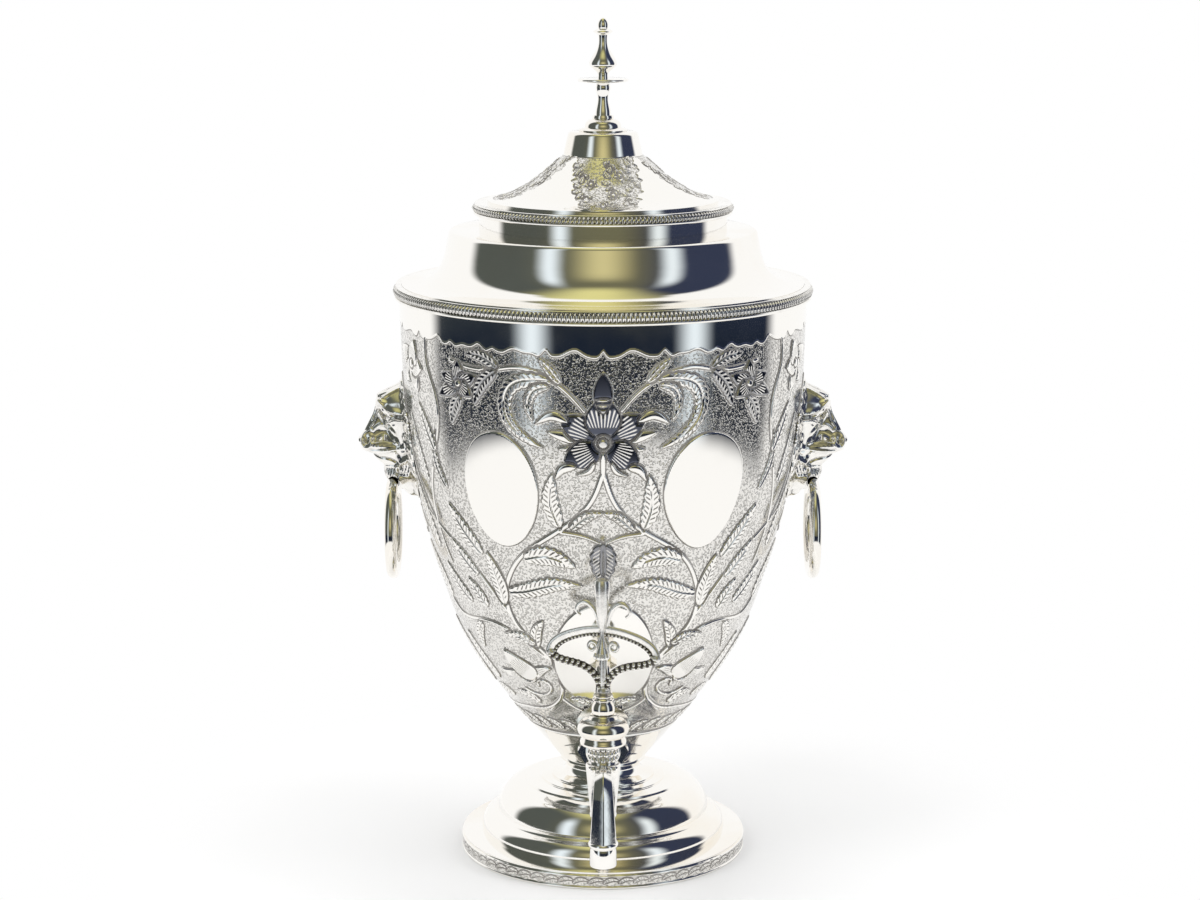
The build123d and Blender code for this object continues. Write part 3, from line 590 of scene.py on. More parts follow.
def spun_silver(node, outline, steps=240, body="urn", axis_at=(0, 0)):
    """Spin the polished piece that stands for a node, and settle it."""
    settle(spun(f"{node}_dressed", outline, steps, axis_at), silver, body, "silver_plate", node)


print("Every piece is settled on its body, in metres, with", MM, "for a millimetre")

# %% [markdown]
# ## The foot
# The foot is a raised sheet on an upright band: a flat border, a hollow, a bead, a dome and a stepped stem.
# A silversmith spins such a sheet over a wooden form, so the Spin tool is the nearest thing to the real work.

# %% Spin the foot
border_height = 9.6
cove_foot = (70.6, 10.6)
cove_top = (64.6, 21.2)
dome_foot = (61.4, 23.4)
dome_top = (46.9, 39.4)
stud_hole = 3.05
sheet_wall = 1.3

band_outline = [(79.5, 0.0), (82.3, 0.0), *arc((82.3, 0.0), (82.7, 0.7), (82.2, 1.5), 4)]
band_outline += [(82.2, 1.5 + 0.6 * step) for step in range(1, 9)] + [(82.2, 6.9)]
band_outline += [*arc((82.2, 6.9), (82.7, 7.6), (82.3, 8.3), 4), (81.2, 8.3), (81.2, 1.4), (79.5, 1.4)]
band_outline += [(79.5, 0.0)]
print("Edge band outline:", len(band_outline), "points")

foot_line = [(81.9, border_height), cove_foot, *arc(cove_foot, (69.6, 17.1), cove_top)]
foot_line += [*arc(cove_top, (63.5, 22.4), dome_foot, 6)]
foot_line += [*arc(dome_foot, (57.6, 33.0), dome_top, 14), (stud_hole, dome_top[1])]
spun_silver("foot_shell", walled(foot_line, sheet_wall))

stem_line = [(stud_hole, 39.4), (45.4, 39.4), (44.9, 40.4), (36.4, 41.0), (36.0, 41.3), (36.0, 41.7)]
stem_line += [(35.6, 42.0), (30.3, 42.4), (30.0, 42.7), (30.0, 43.3), (29.4, 43.8), (24.6, 44.4)]
stem_line += arc((24.6, 44.4), (21.4, 48.5), (22.9, 52.6))
stem_line += arc((22.9, 52.6), (24.9, 53.5), (23.9, 54.4), 6)
stem_line += [(8.3, 54.4), (8.3, 52.38), (stud_hole, 52.38), (stud_hole, 39.4)]
spun_silver("foot_stem", stem_line)

# %% [markdown]
# ## The shoulder and the neck
# The shoulder rises in a shallow slope to a tall riser with a flat ledge. Its lap goes down inside the bowl.

# %% Spin the shoulder and the neck
shoulder_slope = flow([(113.75, 331.9), (100, 333.8), (92.5, 340.5), (89, 350)])
shoulder_line = [(113.75, 318.0), *map(tuple, shoulder_slope)]
shoulder_line += [(87.2, 359.6), *arc((87.2, 359.6), (86.5, 361.1), (85.0, 361.8), 6), (68.6, 361.8)]
spun_silver("shoulder_shell", walled(shoulder_line, sheet_wall))

neck_outline = [(68.6, 361.8), (70.0, 361.8), (70.0, 370.7), (69.7, 371.0), (68.9, 371.0), (68.6, 370.7)]
spun_silver("neck_collar", [*neck_outline, neck_outline[0]])

# %% [markdown]
# ## The lid's sheet
# The lid is a hollow skirt under a plain tapered cap. The cap is finished here. The skirt's line is only
# drawn, because its flowers are chased later, when the strokes for them are there.

# %% Spin the cap and draw the skirt
lid_wall = 1.2
lid_marks = [(63, 379.1), (53, 381.6), (45, 386.0), (38.8, 390.0), (32.2, 395.4), (26.4, 400.6)]
lid_profile = flow([*lid_marks, (22.2, 404)], 14)
lid_line = [(65.0, 377.0), (65.0, 378.6), *map(tuple, lid_profile)]
cap_line = [(22.2, 404.0), (19.8, 414.8), *arc((19.8, 414.8), (19.1, 416.0), (18.0, 416.6), 6)]
cap_line.append((1.55, 416.6))
spun_silver("lid_cap", walled(cap_line, lid_wall), body="lid")
print("Skirt of the lid:", len(lid_line), "points")

# %% [markdown]
# ## The finial
# Five turned pieces sit one on the other on a threaded rod: flange and dome, baluster, disc, bell and bud.
# They could be spun as one, but the real ones come apart, and the thin shadows between them show it.

# %% Turn the finial
bore = 1.55
base_side = [(13.4, 416.6), (13.6, 416.9), (13.6, 417.5), (13.2, 417.9), (10.2, 418.8)]
base_side += [*arc((10.2, 418.8), (9.2, 422.0), (5.8, 423.4), 8), (6.1, 423.8), (6.1, 424.6), (5.8, 425.6)]
stem_side = flow([(4.5, 425.6), (4.4, 427.8), (3.2, 435.8), (4.2, 441.4), (3.2, 444.2)])
disc_side = [(13.3, 444.2), *arc((13.3, 444.2), (14.2, 445.1), (13.3, 446.0), 6)]
bell_side = flow([(3.1, 446.0), (3.1, 448.9), (7.6, 453.2), (5.5, 459.2), (2.7, 465.2), (2.7, 470.0)])
sides = {"base": (base_side, 96), "stem": (stem_side, 72), "disc": (disc_side, 96), "bell": (bell_side, 96)}
for name, (side, steps) in sides.items():
    low, high = side[0][1], side[-1][1]
    outline = [(bore, low), *map(tuple, side), (bore, high), (bore, low)]
    spun_silver(f"finial_{name}", outline, steps, "lid")

bud_side = [*arc((2.8, 473.5), (2.9, 476.6), (1.6, 479.0), 8), (0.7, 479.5), (0.0, 479.6)]
tip_outline = [(0.0, 470.0), (2.7, 470.0), (5.3, 471.6), (5.5, 472.0), (5.2, 472.4), (2.8, 473.5), *bud_side]
spun_silver("finial_tip", tip_outline, 72, "lid")

# %% [markdown]
# ## Rope wires
# The seam of the bowl and the rim of the lid are covered by wire that is twisted like a rope. A ring is spun
# in many steps, and then each of its points moves in by an amount that depends on its place round the rim and
# on its height, so that the ring is parted into lobes, and the lobes lean.


# %% Twist the ropes
rope_sides = 11
rope_steps = 5
rope_lean = -2.0
rope_depth = 0.45


def rope(name, radius, height, half_width, half_height, lobes):
    """Ring of leaning lobes, as high and as wide as a rope of that section."""
    turns = np.linspace(0, tau, rope_sides)
    section = [(radius + half_width * cos(turn), half_width * sin(turn)) for turn in turns]
    piece = spun(name, section, lobes * rope_steps)
    x, y, z = points_of(piece).T
    turn = np.arctan2(y, x)
    out = np.hypot(x, y) - radius
    wave = np.abs(np.sin(0.5 * lobes * turn + rope_lean * z / half_width))
    grow = 1 - rope_depth * (1 - wave**0.6)
    ring = radius + out * grow
    up = height + z * grow * half_height / half_width
    move_points(piece, np.stack([ring * np.cos(turn), ring * np.sin(turn), up], axis=1))
    # The gaps between the lobes are marked as hollows, which the cast finish paints dark: painted shade and
    # oxide.
    keep_number(piece, "hollow", np.clip(1.15 - 2.4 * wave, 0, 1))
    only(piece)
    bpy.ops.object.shade_smooth()
    return piece


def rope_rim(name, inner, outer, low, high, lobes):
    """Plain ring with a thin wire above and a bead below, and a rope between them."""
    core = outer - 2.4
    top, bottom = high - 0.8, low + 1.2
    outline = [(inner, low), (core + 0.4, low)]
    outline += arc((core + 0.4, low), (core + 1.7, low + 0.7), (core + 0.2, bottom), 6)
    outline += [(core, bottom), (core, top), *arc((core, top), (core + 0.9, high - 0.35), (core, high), 5)]
    outline += [(inner, high), (inner, low)]
    rim = spun(name, outline, 300)
    rope(name + "_strand", core - 0.3, (top + bottom) / 2, outer - core + 0.3, (top - bottom) / 2, lobes)
    rim.select_set(True)
    bpy.context.view_layer.objects.active = rim
    bpy.ops.object.join()
    return rim


shoulder_rim = rope_rim("shoulder_rim_dressed", 113.8, 118.8, 324.0, 331.5, 300)
settle(shoulder_rim, cast, "urn", "silver_plate", "shoulder_rim")
lid_rim = rope_rim("lid_rim_dressed", 64.0, 73.8, 371.0, 377.0, 190)
settle(lid_rim, cast, "lid", "silver_plate", "lid_rim")

# %% [markdown]
# ## The chased bowl
# Chasing pushes the ground of a pattern down with blunt punches, so flowers, leaves and stems stay proud,
# each with a dark line round it. The pattern is drawn here as a list of strokes on the bowl. For every point
# of a fine grid the script works out how far it lies inside the nearest shape, and that one number makes the
# relief, the lines and the punched ground. No picture is used: the shader's lines follow the same number, and
# a further number paints the dim room's reflection onto some petals.

# %% The bowl's own shape
bowl_points = [(24.4, 54.4), (43.4, 76.9), (61.9, 100.5), (82.4, 134.1), (95.0, 169.9), (104.5, 206.5)]
bowl_points += [(114.1, 281.0), (115.2, 324.0)]
bowl_wall = 1.4
bowl_curve = flow(bowl_points, 40)
print("Bowl from", bowl_points[0][0], "to", bowl_points[-1][0], "mm in radius")


def around_axis(angle, radius, height):
    """Points at an angle from the front, in degrees, at a distance from the urn's axis and at a height."""
    turn = np.radians(angle)
    return np.stack(np.broadcast_arrays(radius * np.sin(turn), -radius * np.cos(turn), height), axis=-1)


def bowl_radius(height):
    return np.interp(height, bowl_curve[:, 1], bowl_curve[:, 0])


def on_bowl(angle, height):
    """Point of the bowl at an angle and a height."""
    return around_axis(angle, bowl_radius(height), height)


# %% [markdown]
# ## Strokes
# A chaser works with few kinds of strokes: a stem, a leaf with slanting cuts, a petal with rays and a plain
# oval. Each is drawn round a path on the metal. A later stroke covers an earlier one where it lies deeper
# inside its own shape, so that petals overlap as they do on the bowl, and a moat keeps a line of ground
# between them.

# %% Strokes of a chaser
edge_reach = 3.0
stroke_margin = 4


def ramp(value, steepness):
    """A value times a steepness, kept between 0 and 1."""
    return np.clip(value * steepness, 0, 1)


class Chasing:
    """A pattern on a grid of points: how far inside a shape each lies, the veins of its leaves, and how dark
    a petal's painted reflection of the dim room is.
    """

    def __init__(self, points, surface):
        self.points = points
        self.surface = surface
        self.edge = np.full(len(points), -edge_reach)
        self.swell, self.stroke, self.phase, self.tone = np.zeros((4, len(points)))

    def beside(self, path, reach):
        """Points near a path: their numbers, distances, shares of its length, sides, and its length."""
        line = flow([self.surface(*place) for place in path], 8 if len(path) > 2 else 12)
        low, high = line.min(0) - reach, line.max(0) + reach
        near = np.flatnonzero(np.all((self.points > low) & (self.points < high), axis=1))
        here = self.points[near]
        start, run = line[:-1], np.diff(line, axis=0)
        length = np.linalg.norm(run, axis=1)
        past = np.clip(((here[:, None] - start) * run).sum(2) / length**2, 0, 1)
        away = here[:, None] - (start + past[..., None] * run)
        distance = np.linalg.norm(away, axis=2)
        best = distance.argmin(1)
        row = np.arange(len(near))
        before = np.concatenate([[0], np.cumsum(length)])
        share = (before[best] + past[row, best] * length[best]) / before[-1]
        outwards = here * (1, 1, 0)
        side = np.sign((np.cross(run[best], away[row, best]) * outwards).sum(1))
        return near, distance[row, best], share, side, before[-1]

    def add(self, near, inside, swell=0.0, stroke=0.0, phase=0.0, moat=0.0, tone=0.0):
        """Lay a shape over what is there, with a line of ground round it where it has a moat."""
        old = self.edge[near]
        if moat:
            old = np.minimum(old, -(inside + moat))
        take = inside > old
        tone = tone * ramp(inside, 3)
        self.edge[near] = np.where(take, inside, old)
        news = {"swell": swell, "stroke": stroke, "phase": phase, "tone": tone}
        for name, new in news.items():
            kept = getattr(self, name)
            kept[near] = np.where(take, new, kept[near])

    def numbers(self):
        """What the shader reads on every point."""
        edge = np.clip(self.edge, -edge_reach, edge_reach)
        return {"edge": edge, "stroke": self.stroke, "phase": self.phase, "tone": self.tone}

    def stem(self, path, width, thin=0.5, swell=0.35):
        near, distance, share, side, length = self.beside(path, width + stroke_margin)
        half = width * (1 - (1 - thin) * share)
        self.add(near, half - distance, swell)

    def leaf(self, path, width, fern=0, pitch=2.9, moat=0.7, swell=0.6, bare=False, tone=0.0):
        """A leaf along its midrib: fern scallops its edge, and short cuts slant out on both sides."""
        near, distance, share, side, length = self.beside(path, width + stroke_margin)
        half = width * np.sin(pi * share**0.75) ** 0.6 + 0.05
        if fern:
            half *= 0.84 + 0.16 * np.abs(np.sin(pi * fern * share))
        across = distance / np.maximum(half, 0.2)
        cuts = np.clip((across - 0.2) / 0.12, 0, 1) * np.clip((0.8 - across) / 0.15, 0, 1)
        cuts *= ramp(share - 0.1, 12) * ramp(0.92 - share, 12) * (not bare)
        phase = (share * length - 0.8 * distance) / pitch
        inside = half - distance
        if not bare:
            inside = np.minimum(inside, distance + 0.1 + 6 * np.clip(share - 0.72, 0, 1))
        self.add(near, inside, swell * (1 - 0.5 * across**2), cuts, phase, moat, tone)

    def petal(self, path, width, rays=7, moat=0.7, swell=1.0, point=0.6, tone=0.0):
        """A petal, cupped so that its tip stands proud, with rays that fan out from its foot."""
        near, distance, share, side, length = self.beside(path, width + stroke_margin)
        half = width * np.sin(pi * share**point) ** 0.7 + 0.05
        across = side * distance / (width * (0.3 + 0.9 * share))
        cuts = 0.55 * ramp(share - 0.2, 9) * ramp(0.76 - share, 9) * ramp(half - distance - 0.7, 2)
        cupped = swell * (0.15 + share**1.2)
        self.add(near, half - distance, cupped, cuts, across * rays / 2 + 0.5, moat, tone * ramp(share, 8))

    def oval(self, place, half_width, half_height, swell=0.5, moat=0.8, taper=0.0, tone=0.0, lean=0.0):
        """A plain reserve, a little wider and prouder above than below."""
        centre = self.surface(*place)
        near = np.flatnonzero(np.linalg.norm(self.points - centre, axis=1) < half_height + 8)
        here = self.points[near] - centre
        turn = radians(place[0])
        sideways = here @ np.array([cos(turn), sin(turn), 0])
        upwards = here[:, 2] * 1.04
        wide = half_width * (1 + taper * upwards / half_height)
        ratio = np.sqrt((sideways / wide) ** 2 + (upwards / half_height) ** 2) + 1e-6
        slope = np.sqrt((sideways / wide**2) ** 2 + (upwards / half_height**2) ** 2) / ratio
        inside = (1 - ratio) / np.maximum(slope, 1e-6)
        self.add(near, inside, swell + lean * np.clip(upwards / half_height, -1, 1), moat=moat, tone=tone)


print("Strokes ready, each reaching", stroke_margin, "mm past its width")

# %% [markdown]
# ## The pattern of the bowl
# A large flower hangs under the border, between two plain ovals. Stems with leaves run down from it round a
# third oval behind the tap, and smaller flowers fill the shoulders and the sides. Both halves of such a
# pattern are pricked from one drawing, so only the right half of the front is drawn here.

# %% The pattern, drawn on the right half of the front
# Each row is a path of (angle, height) places and a width. Then comes how thin a stem ends, or how many
# scallops a leaf's edge has, and how dark its painted reflection of the dim room is.
stems = [
    ([(0.4, 242), (3.3, 228), (12.3, 211), (19.5, 202), (26, 193), (31.6, 180), (34.5, 164), (32, 151),
      (21.8, 133), (18.8, 118), (21, 105), (30, 95)], 1.5, 0.9),
    ([(72.7, 212), (60, 201), (51.1, 191), (42.9, 176), (34.5, 158)], 1.2, 1.0),
    ([(70, 160), (62.8, 150), (48.8, 150), (37.9, 148), (29.7, 141), (22.5, 132)], 1.1, 1.0),
    ([(0, 203), (5, 207), (12.3, 209)], 1.1, 1.2),
    ([(46, 300), (40.9, 298), (30.7, 298), (25, 300), (19.5, 299), (14.4, 295), (10, 289), (5, 278)],
     1.3, 0.9),
    ([(57.6, 316), (57.6, 295), (53.8, 279), (53.4, 261), (57.8, 240), (61.5, 222), (62, 202), (59, 182)],
     1.1, 0.9),
    ([(21, 105), (30, 97), (45, 94), (60, 92), (75, 91), (90, 91)], 1.1, 0.8),
    ([(21, 105), (14, 98), (6, 95), (0, 94)], 1.1, 0.8),
]
leaves = [
    ([(12.7, 212), (15.2, 226), (14.2, 243)], 5.2, 7),
    ([(9.5, 211), (5, 218.5), (0, 221.5)], 3.4, 6),
    ([(25, 192), (17, 194.5), (8.6, 189)], 6.0, 8),
    ([(33, 171), (26, 173), (16, 178), (6.4, 178)], 5.2, 11),
    ([(25.5, 139), (25, 147), (21.3, 156)], 3.6, 0),
    ([(35.4, 163), (36.5, 177), (39.1, 193)], 4.8, 0),
    ([(41, 191), (47, 203), (53, 218)], 5.2, 9),
    ([(52, 226), (56.5, 240), (55.5, 258)], 3.6, 8),
    ([(44, 159), (47, 166), (51, 175)], 4.2, 6),
    ([(52, 160), (58, 168), (63, 181)], 5.0, 8),
    ([(45, 178), (50, 186), (55, 197)], 4.4, 7),
    ([(26, 140.5), (32, 144.5), (39.5, 144)], 3.2, 6),
    ([(50, 148), (54, 141), (55, 131)], 3.6, 6),
    ([(3, 98), (8, 103), (16, 105)], 3.4, 6),
    ([(35, 99), (41, 104), (49, 104)], 3.6, 5),
    ([(58, 110), (63, 122), (66, 138)], 5.4, 8),
    ([(54, 100), (60, 103), (68, 103)], 3.2, 5),
    ([(72, 104), (75, 122), (80, 142)], 6.0, 10),
    ([(68, 158), (74, 172), (82, 186)], 6.4, 10),
    ([(66, 188), (71, 205), (76, 226)], 6.4, 11),
]
side_leaves = [
    ([(56, 246), (60, 258), (64, 272)], 5.0, 9),
    ([(63, 226), (68, 244), (71, 264)], 5.2, 10),
    ([(78, 246), (82, 262), (85, 282)], 5.0, 9),
]
top_leaves = [
    ([(13.5, 294), (20, 294), (25.4, 290.5), (27.6, 282), (26.4, 271), (22, 262.5), (16.5, 257)],
     4.6, 15, 0.0),
    ([(14.5, 291), (19.2, 288), (20.6, 281), (19.4, 272)], 3.0, 8, 0.0),
    ([(11.5, 293), (14.5, 300), (17.5, 306)], 2.8, 0, 0.0),
    ([(29.5, 299), (34.5, 304), (40.5, 305)], 3.6, 6, 0.6),
    ([(30, 297), (34.5, 290), (37.4, 277)], 4.4, 8, 0.6),
    ([(42.5, 281), (45, 274), (46.5, 264)], 4.2, 6, 0.5),
]
print("Strokes:", len(stems), "stems and", len(leaves + side_leaves + top_leaves), "leaves in rows")

# %% Draw the flowers and lay the pattern
low_stem = [(40, 108), (34, 105.5), (27.5, 107), (24.6, 111.5), (26.5, 116), (30.5, 115.5), (31, 112)]
key_leaf = [(0, 203.5), (0.3, 193), (0, 180)]


def flower(work, centre, tips, width, rays, heart, rise, swell=1.0, tone=0.0):
    """Petals from a centre to their tips, and a round heart that stands proud over them."""
    for tip in tips:
        work.petal([centre, tip], width, rays, swell=swell, tone=tone)
    if heart:
        work.oval(centre, heart, heart, rise, 0.6)


def draw_main_flower(work):
    """The large flower at the top: petals painted dark as a reflection of the dim room, with turned-over
    tips, a bud, and a heart of two rings.
    """
    painted_dark_petal = {"point": 0.85, "tone": 0.95}
    work.stem([(0, 257), (0, 242)], 1.8, 0.8, 0.8)
    work.leaf([(1.5, 261.5), (8, 263), (15.5, 266.5)], 3.4, bare=True, swell=1.2)
    work.leaf([(1.2, 259.5), (7, 257.5), (12.5, 257)], 2.6, bare=True, swell=1.0)
    work.petal([(1.0, 262.5), (5.6, 268), (11.8, 274.5)], 7.4, 6, swell=2.2, **painted_dark_petal)
    work.leaf([(9.5, 272), (13.6, 275.4), (18.6, 270.5)], 2.6, bare=True, swell=1.6)
    work.petal([(1.0, 258.5), (5.4, 254), (10.6, 249.5)], 7.8, 7, swell=2.6, **painted_dark_petal)
    work.leaf([(7.4, 247), (11.2, 245.6), (13.4, 239.5)], 2.6, bare=True, swell=1.4)
    work.leaf([(2.4, 250), (3.6, 245.5), (7.6, 242.5)], 1.7, bare=True, swell=1.2)
    work.petal([(0, 263), (0, 286)], 9.6, 7, swell=2.0, **painted_dark_petal)
    work.petal([(0, 276.5), (0, 298.5)], 5.2, 0, swell=2.2, point=0.95, tone=0.95)
    work.leaf([(-2.2, 284.4), (0, 284.0), (2.2, 284.4)], 1.1, bare=True, moat=0.3, swell=3.0)
    work.leaf([(-1.9, 281.4), (0, 280.8), (1.9, 281.4)], 0.9, bare=True, moat=0.3, swell=3.0)
    work.oval((0, 260.5), 4.6, 4.6, 2.4, 0.8, tone=0.35)
    work.oval((0, 260.5), 2.9, 2.9, 3.0, 0.6, tone=0.1)


def draw_bowl(work):
    """Lay the whole pattern on the grid: the grid is folded, so each stroke falls on all four quarters."""
    for path, width, thin in stems:
        work.stem(path, width, thin)
    work.oval((31, 231), 23.5, 34.5, 0.8, taper=0.06, lean=0.5)
    work.oval((0, 134), 27.5, 35, 0.5)
    for path, width, fern in leaves:
        work.leaf(path, width, fern)
    tips = ((76, 300), (72, 281), (63.5, 277), (60.5, 291), (65, 306))
    flower(work, (67.5, 292), tips, 6.5, 7, 2.8, 1.6, 1.4)
    for path, width, fern in side_leaves:
        work.leaf(path, width, fern)
    work.stem([(62, 202), (72, 226), (78, 250), (80, 274)], 0.9, 0.8)
    work.leaf([(76, 216), (82, 236), (86, 256)], 4.4, 9)
    # Some leaves and flowers below get a painted reflection of the dim room, as a dark colour.
    for path, width, fern, tone in top_leaves:
        work.leaf(path, width, fern, tone=tone)
    tips = ((51.5, 279), (50, 292), (43, 301), (36.5, 293), (38.5, 281))
    flower(work, (43.3, 287.5), tips, 4.6, 5, 2.2, 1.2, tone=0.7)
    work.stem(low_stem, 1.2, 0.8)
    work.petal([(31, 118), (40, 117), (50, 119.5)], 5.0, 6, swell=0.9)
    work.petal([(31, 119), (27, 123.5), (21.5, 125.5)], 3.6, 4, swell=0.9)
    work.petal([(30.5, 118), (36.5, 124), (42.5, 134)], 7.6, 7, swell=1.3)
    flower(work, (90, 200), ((84, 205), (82, 190), (76, 196), (90, 186), (90, 214)), 4.8, 5, 0, 0, 0.7)
    work.leaf(key_leaf, 7.0, 5, pitch=2.3, swell=0.5, tone=0.75)
    draw_main_flower(work)


# %% The border above and the band of leaves below
scallop = 7.6
border_low = 305.6
border_rise = 4.0
border_ridge = 1.5
border_lift = 0.045
border_power = 1.25
band_low = 78.0
band_leaf = 10.5


def draw_borders(work, angle, height):
    """Plain metal above a pointed, scalloped border and below a narrow band of leaves."""
    turned = angle + 1.9 * np.sin(radians(23) * angle)
    point = 1 - np.abs(np.sin(pi * turned / scallop)) ** border_power
    tall = 0.65 + 0.35 * np.cos(radians(41) * angle + 0.6)
    border = border_low + border_lift * angle + border_rise * tall * point
    everything = np.arange(len(angle))
    work.add(everything, (height - border) * 0.85, -0.8 * ramp(height - border, 1 / border_ridge))
    work.add(everything, band_low - height, 0.25)
    for place in np.arange(-3, 90, band_leaf):
        work.leaf([(place, 80.5), (place + 4, 85.5), (place + 9.5, 88)], 2.5, fern=4, pitch=1.9, moat=0.5)
        work.leaf([(place + 5.5, 81), (place + 8, 82), (place + 12, 81.6)], 1.5, pitch=1.6, moat=0.4)


print("Border of", round(360 / scallop), "scallops")

# %% [markdown]
# ## From strokes to relief
# The grid is folded into one quarter before the strokes are laid on it, with a slow wander on one side, so
# that the halves differ a little, as handwork does. Then each point moves out or in along the bowl's own
# normal. Normals are worked out here too, from the fine grid, and each panel keeps them.

# %% Work out the relief on a grid right round the bowl
grid_rows = 480
grid_turns = 1200
row_marks = (0, 24, 440, 480)
row_heights = (54.4, 76.0, 312.0, 324.0)
hand_wander = 0.9
wander_span = (100, 306)
wander_fade = 20
rim_fade = 6
soft_start = 0.3
soft_bowl = 1.1
ground_depth = 0.55
proud = 0.4
side_angles = (35, 65)
side_relief = (1.0, 0.6)


def relief():
    """Moved-out places, normals and the chaser's numbers for every point of the grid."""
    heights = np.interp(np.arange(grid_rows + 1), row_marks, row_heights)
    turns = np.arange(grid_turns) * 360 / grid_turns
    turn, height = np.meshgrid(turns, heights)
    signed = (turn + 180) % 360 - 180
    slow, quick = radians(1) * (turn * 3 + height * 1.7), radians(1) * (turn * 7 - height * 3.1)
    wander = hand_wander * (np.sin(slow) + 0.6 * np.sin(quick))
    folded = np.abs(signed + wander * (signed > 0) * np.clip(np.abs(signed) / 12, 0, 1))
    folded = np.where(folded > 90, 180 - folded, folded)
    held = np.clip((wander_span[1] - height) / wander_fade, 0, 1)
    held = 0.5 * wander * held * np.clip((height - wander_span[0]) / wander_fade, 0, 1)
    drift = height + held
    work = Chasing(on_bowl(folded.ravel(), drift.ravel()), on_bowl)
    draw_bowl(work)
    draw_borders(work, folded.ravel(), drift.ravel())
    numbers = work.numbers()
    inside = np.clip((numbers["edge"] + soft_start) / soft_bowl, 0, 1)
    inside = inside * inside * (3 - 2 * inside)
    rise = (inside * (proud + 0.5 * work.swell) - ground_depth * (1 - inside)).reshape(turn.shape)
    rise *= np.clip((row_heights[-1] - height) / rim_fade, 0, 1) * np.interp(folded, side_angles, side_relief)
    radius = bowl_radius(height)
    slope = np.gradient(radius, axis=0) / np.gradient(height, axis=0)
    lean = 1 / np.sqrt(1 + slope**2)
    out = radius + rise * lean
    angle = np.radians(turn)
    places = np.stack([out * np.sin(angle), -out * np.cos(angle), height - rise * slope * lean], axis=-1)
    around = np.roll(places, -1, axis=1) - np.roll(places, 1, axis=1)
    normals = np.cross(around, np.gradient(places, axis=0))
    normals /= np.linalg.norm(normals, axis=2)[..., None]
    return places, normals, {name: value.reshape(turn.shape) for name, value in numbers.items()}


places, normals, numbers = relief()
print("Relief on", places.shape[0] * places.shape[1], "points")

# %% [markdown]
# A mesh of the whole bowl at that fineness would be too heavy, so the bowl is made as four curved panels.
# Each starts as a coarse grid that is extruded to a slab, and then only its outer side is cut finer: the
# inner side stays coarse, and the slab stays closed.

# %% Make the four panels
coarse_columns = 15
coarse_rows = 24
cuts = 20
panel_columns = coarse_columns * cuts


def panel(number, name):
    bpy.ops.object.select_all(action="DESELECT")
    bpy.ops.mesh.primitive_grid_add(x_subdivisions=coarse_columns, y_subdivisions=coarse_rows, size=2)
    piece = added(name)
    bpy.ops.object.mode_set(mode="EDIT")
    bpy.ops.mesh.select_all(action="SELECT")
    bpy.ops.mesh.extrude_region_move(TRANSFORM_OT_translate={"value": (0, 0, 1)})
    bpy.ops.mesh.subdivide(number_cuts=cuts - 1)
    bpy.ops.mesh.select_all(action="SELECT")
    bpy.ops.mesh.normals_make_consistent(inside=False)
    bpy.ops.object.mode_set(mode="OBJECT")
    flat = points_of(piece) * MM
    column = np.rint((flat[:, 0] + 1) / 2 * panel_columns).astype(int)
    row = np.rint((flat[:, 1] + 1) / 2 * grid_rows).astype(int)
    outer = flat[:, 2] > 0.5
    first = number * panel_columns - panel_columns // 2
    turn = (first + column) % grid_turns
    height = np.interp(row, row_marks, row_heights)
    inner = on_bowl(turn * 360 / grid_turns, height)
    inner[:, :2] *= ((bowl_radius(height) - bowl_wall) / bowl_radius(height))[:, None]
    inner[:, 2] = np.maximum(inner[:, 2], row_heights[0])
    move_points(piece, np.where(outer[:, None], places[row, turn], inner))
    for kind, value in numbers.items():
        keep_number(piece, kind, np.where(outer, value[row, turn], edge_reach if kind == "edge" else 0.0))
    piece.data.update()
    only(piece)
    bpy.ops.object.shade_smooth()
    given = np.where(outer[:, None], normals[row, turn], 0.0)
    piece.data.normals_split_custom_set_from_vertices([tuple(n) for n in given])
    return piece


for number, side in enumerate(("front", "right", "back", "left")):
    quarter = panel(number, f"bowl_{side}")
    settle(quarter, chased, "urn", "chased_silver", "vase_shell")

# %% [markdown]
# ## The bowl's floor
# The floor is a flat disc with a thick edge that closes the bowl over the stem. It is made as the other spun
# pieces are, from a closed outline.

# %% Spin the floor
floor_outline = [(0, 54.4), (24.2, 54.4), (26.2, 57.0), (0, 57.0)]
bowl_floor = spun("bowl_floor", floor_outline, 96)
settle(bowl_floor, tinned, "urn", "chased_silver", "vase_shell")

# %% [markdown]
# ## The chased lid and the foot's edge
# The lid carries four sprays of flowers with plain metal between them, and the upright edge of the foot has
# a running leaf. Here the relief moves the points of pieces that were already spun: the same strokes are laid
# on their points, and each point moves along its own normal.


# %% Chase a spun piece
soft_spun = 0.9


def chase(piece, surface, draw, depth, plain=2.0):
    """Lay a pattern on a spun piece: draw gets the strokes, and each point's angle, radius and height."""
    here, out = points_of(piece), normals_of(piece)
    turn = np.degrees(np.arctan2(here[:, 0], -here[:, 1]))
    work = Chasing(here, surface)
    draw(work, turn, np.hypot(here[:, 0], here[:, 1]), here[:, 2])
    kept = work.numbers()
    inside = np.clip((kept["edge"] + soft_start) / soft_spun, 0, 1)
    rise = depth * (inside * (0.3 + 0.7 * work.swell) - 0.8 * (1 - inside))
    rise = np.where(kept["edge"] >= plain, 0, rise)
    move_points(piece, here + out * rise[:, None])
    for kind, value in kept.items():
        keep_number(piece, kind, value)
    piece.data.update()


print("Relief on spun pieces softens over", soft_spun, "mm")

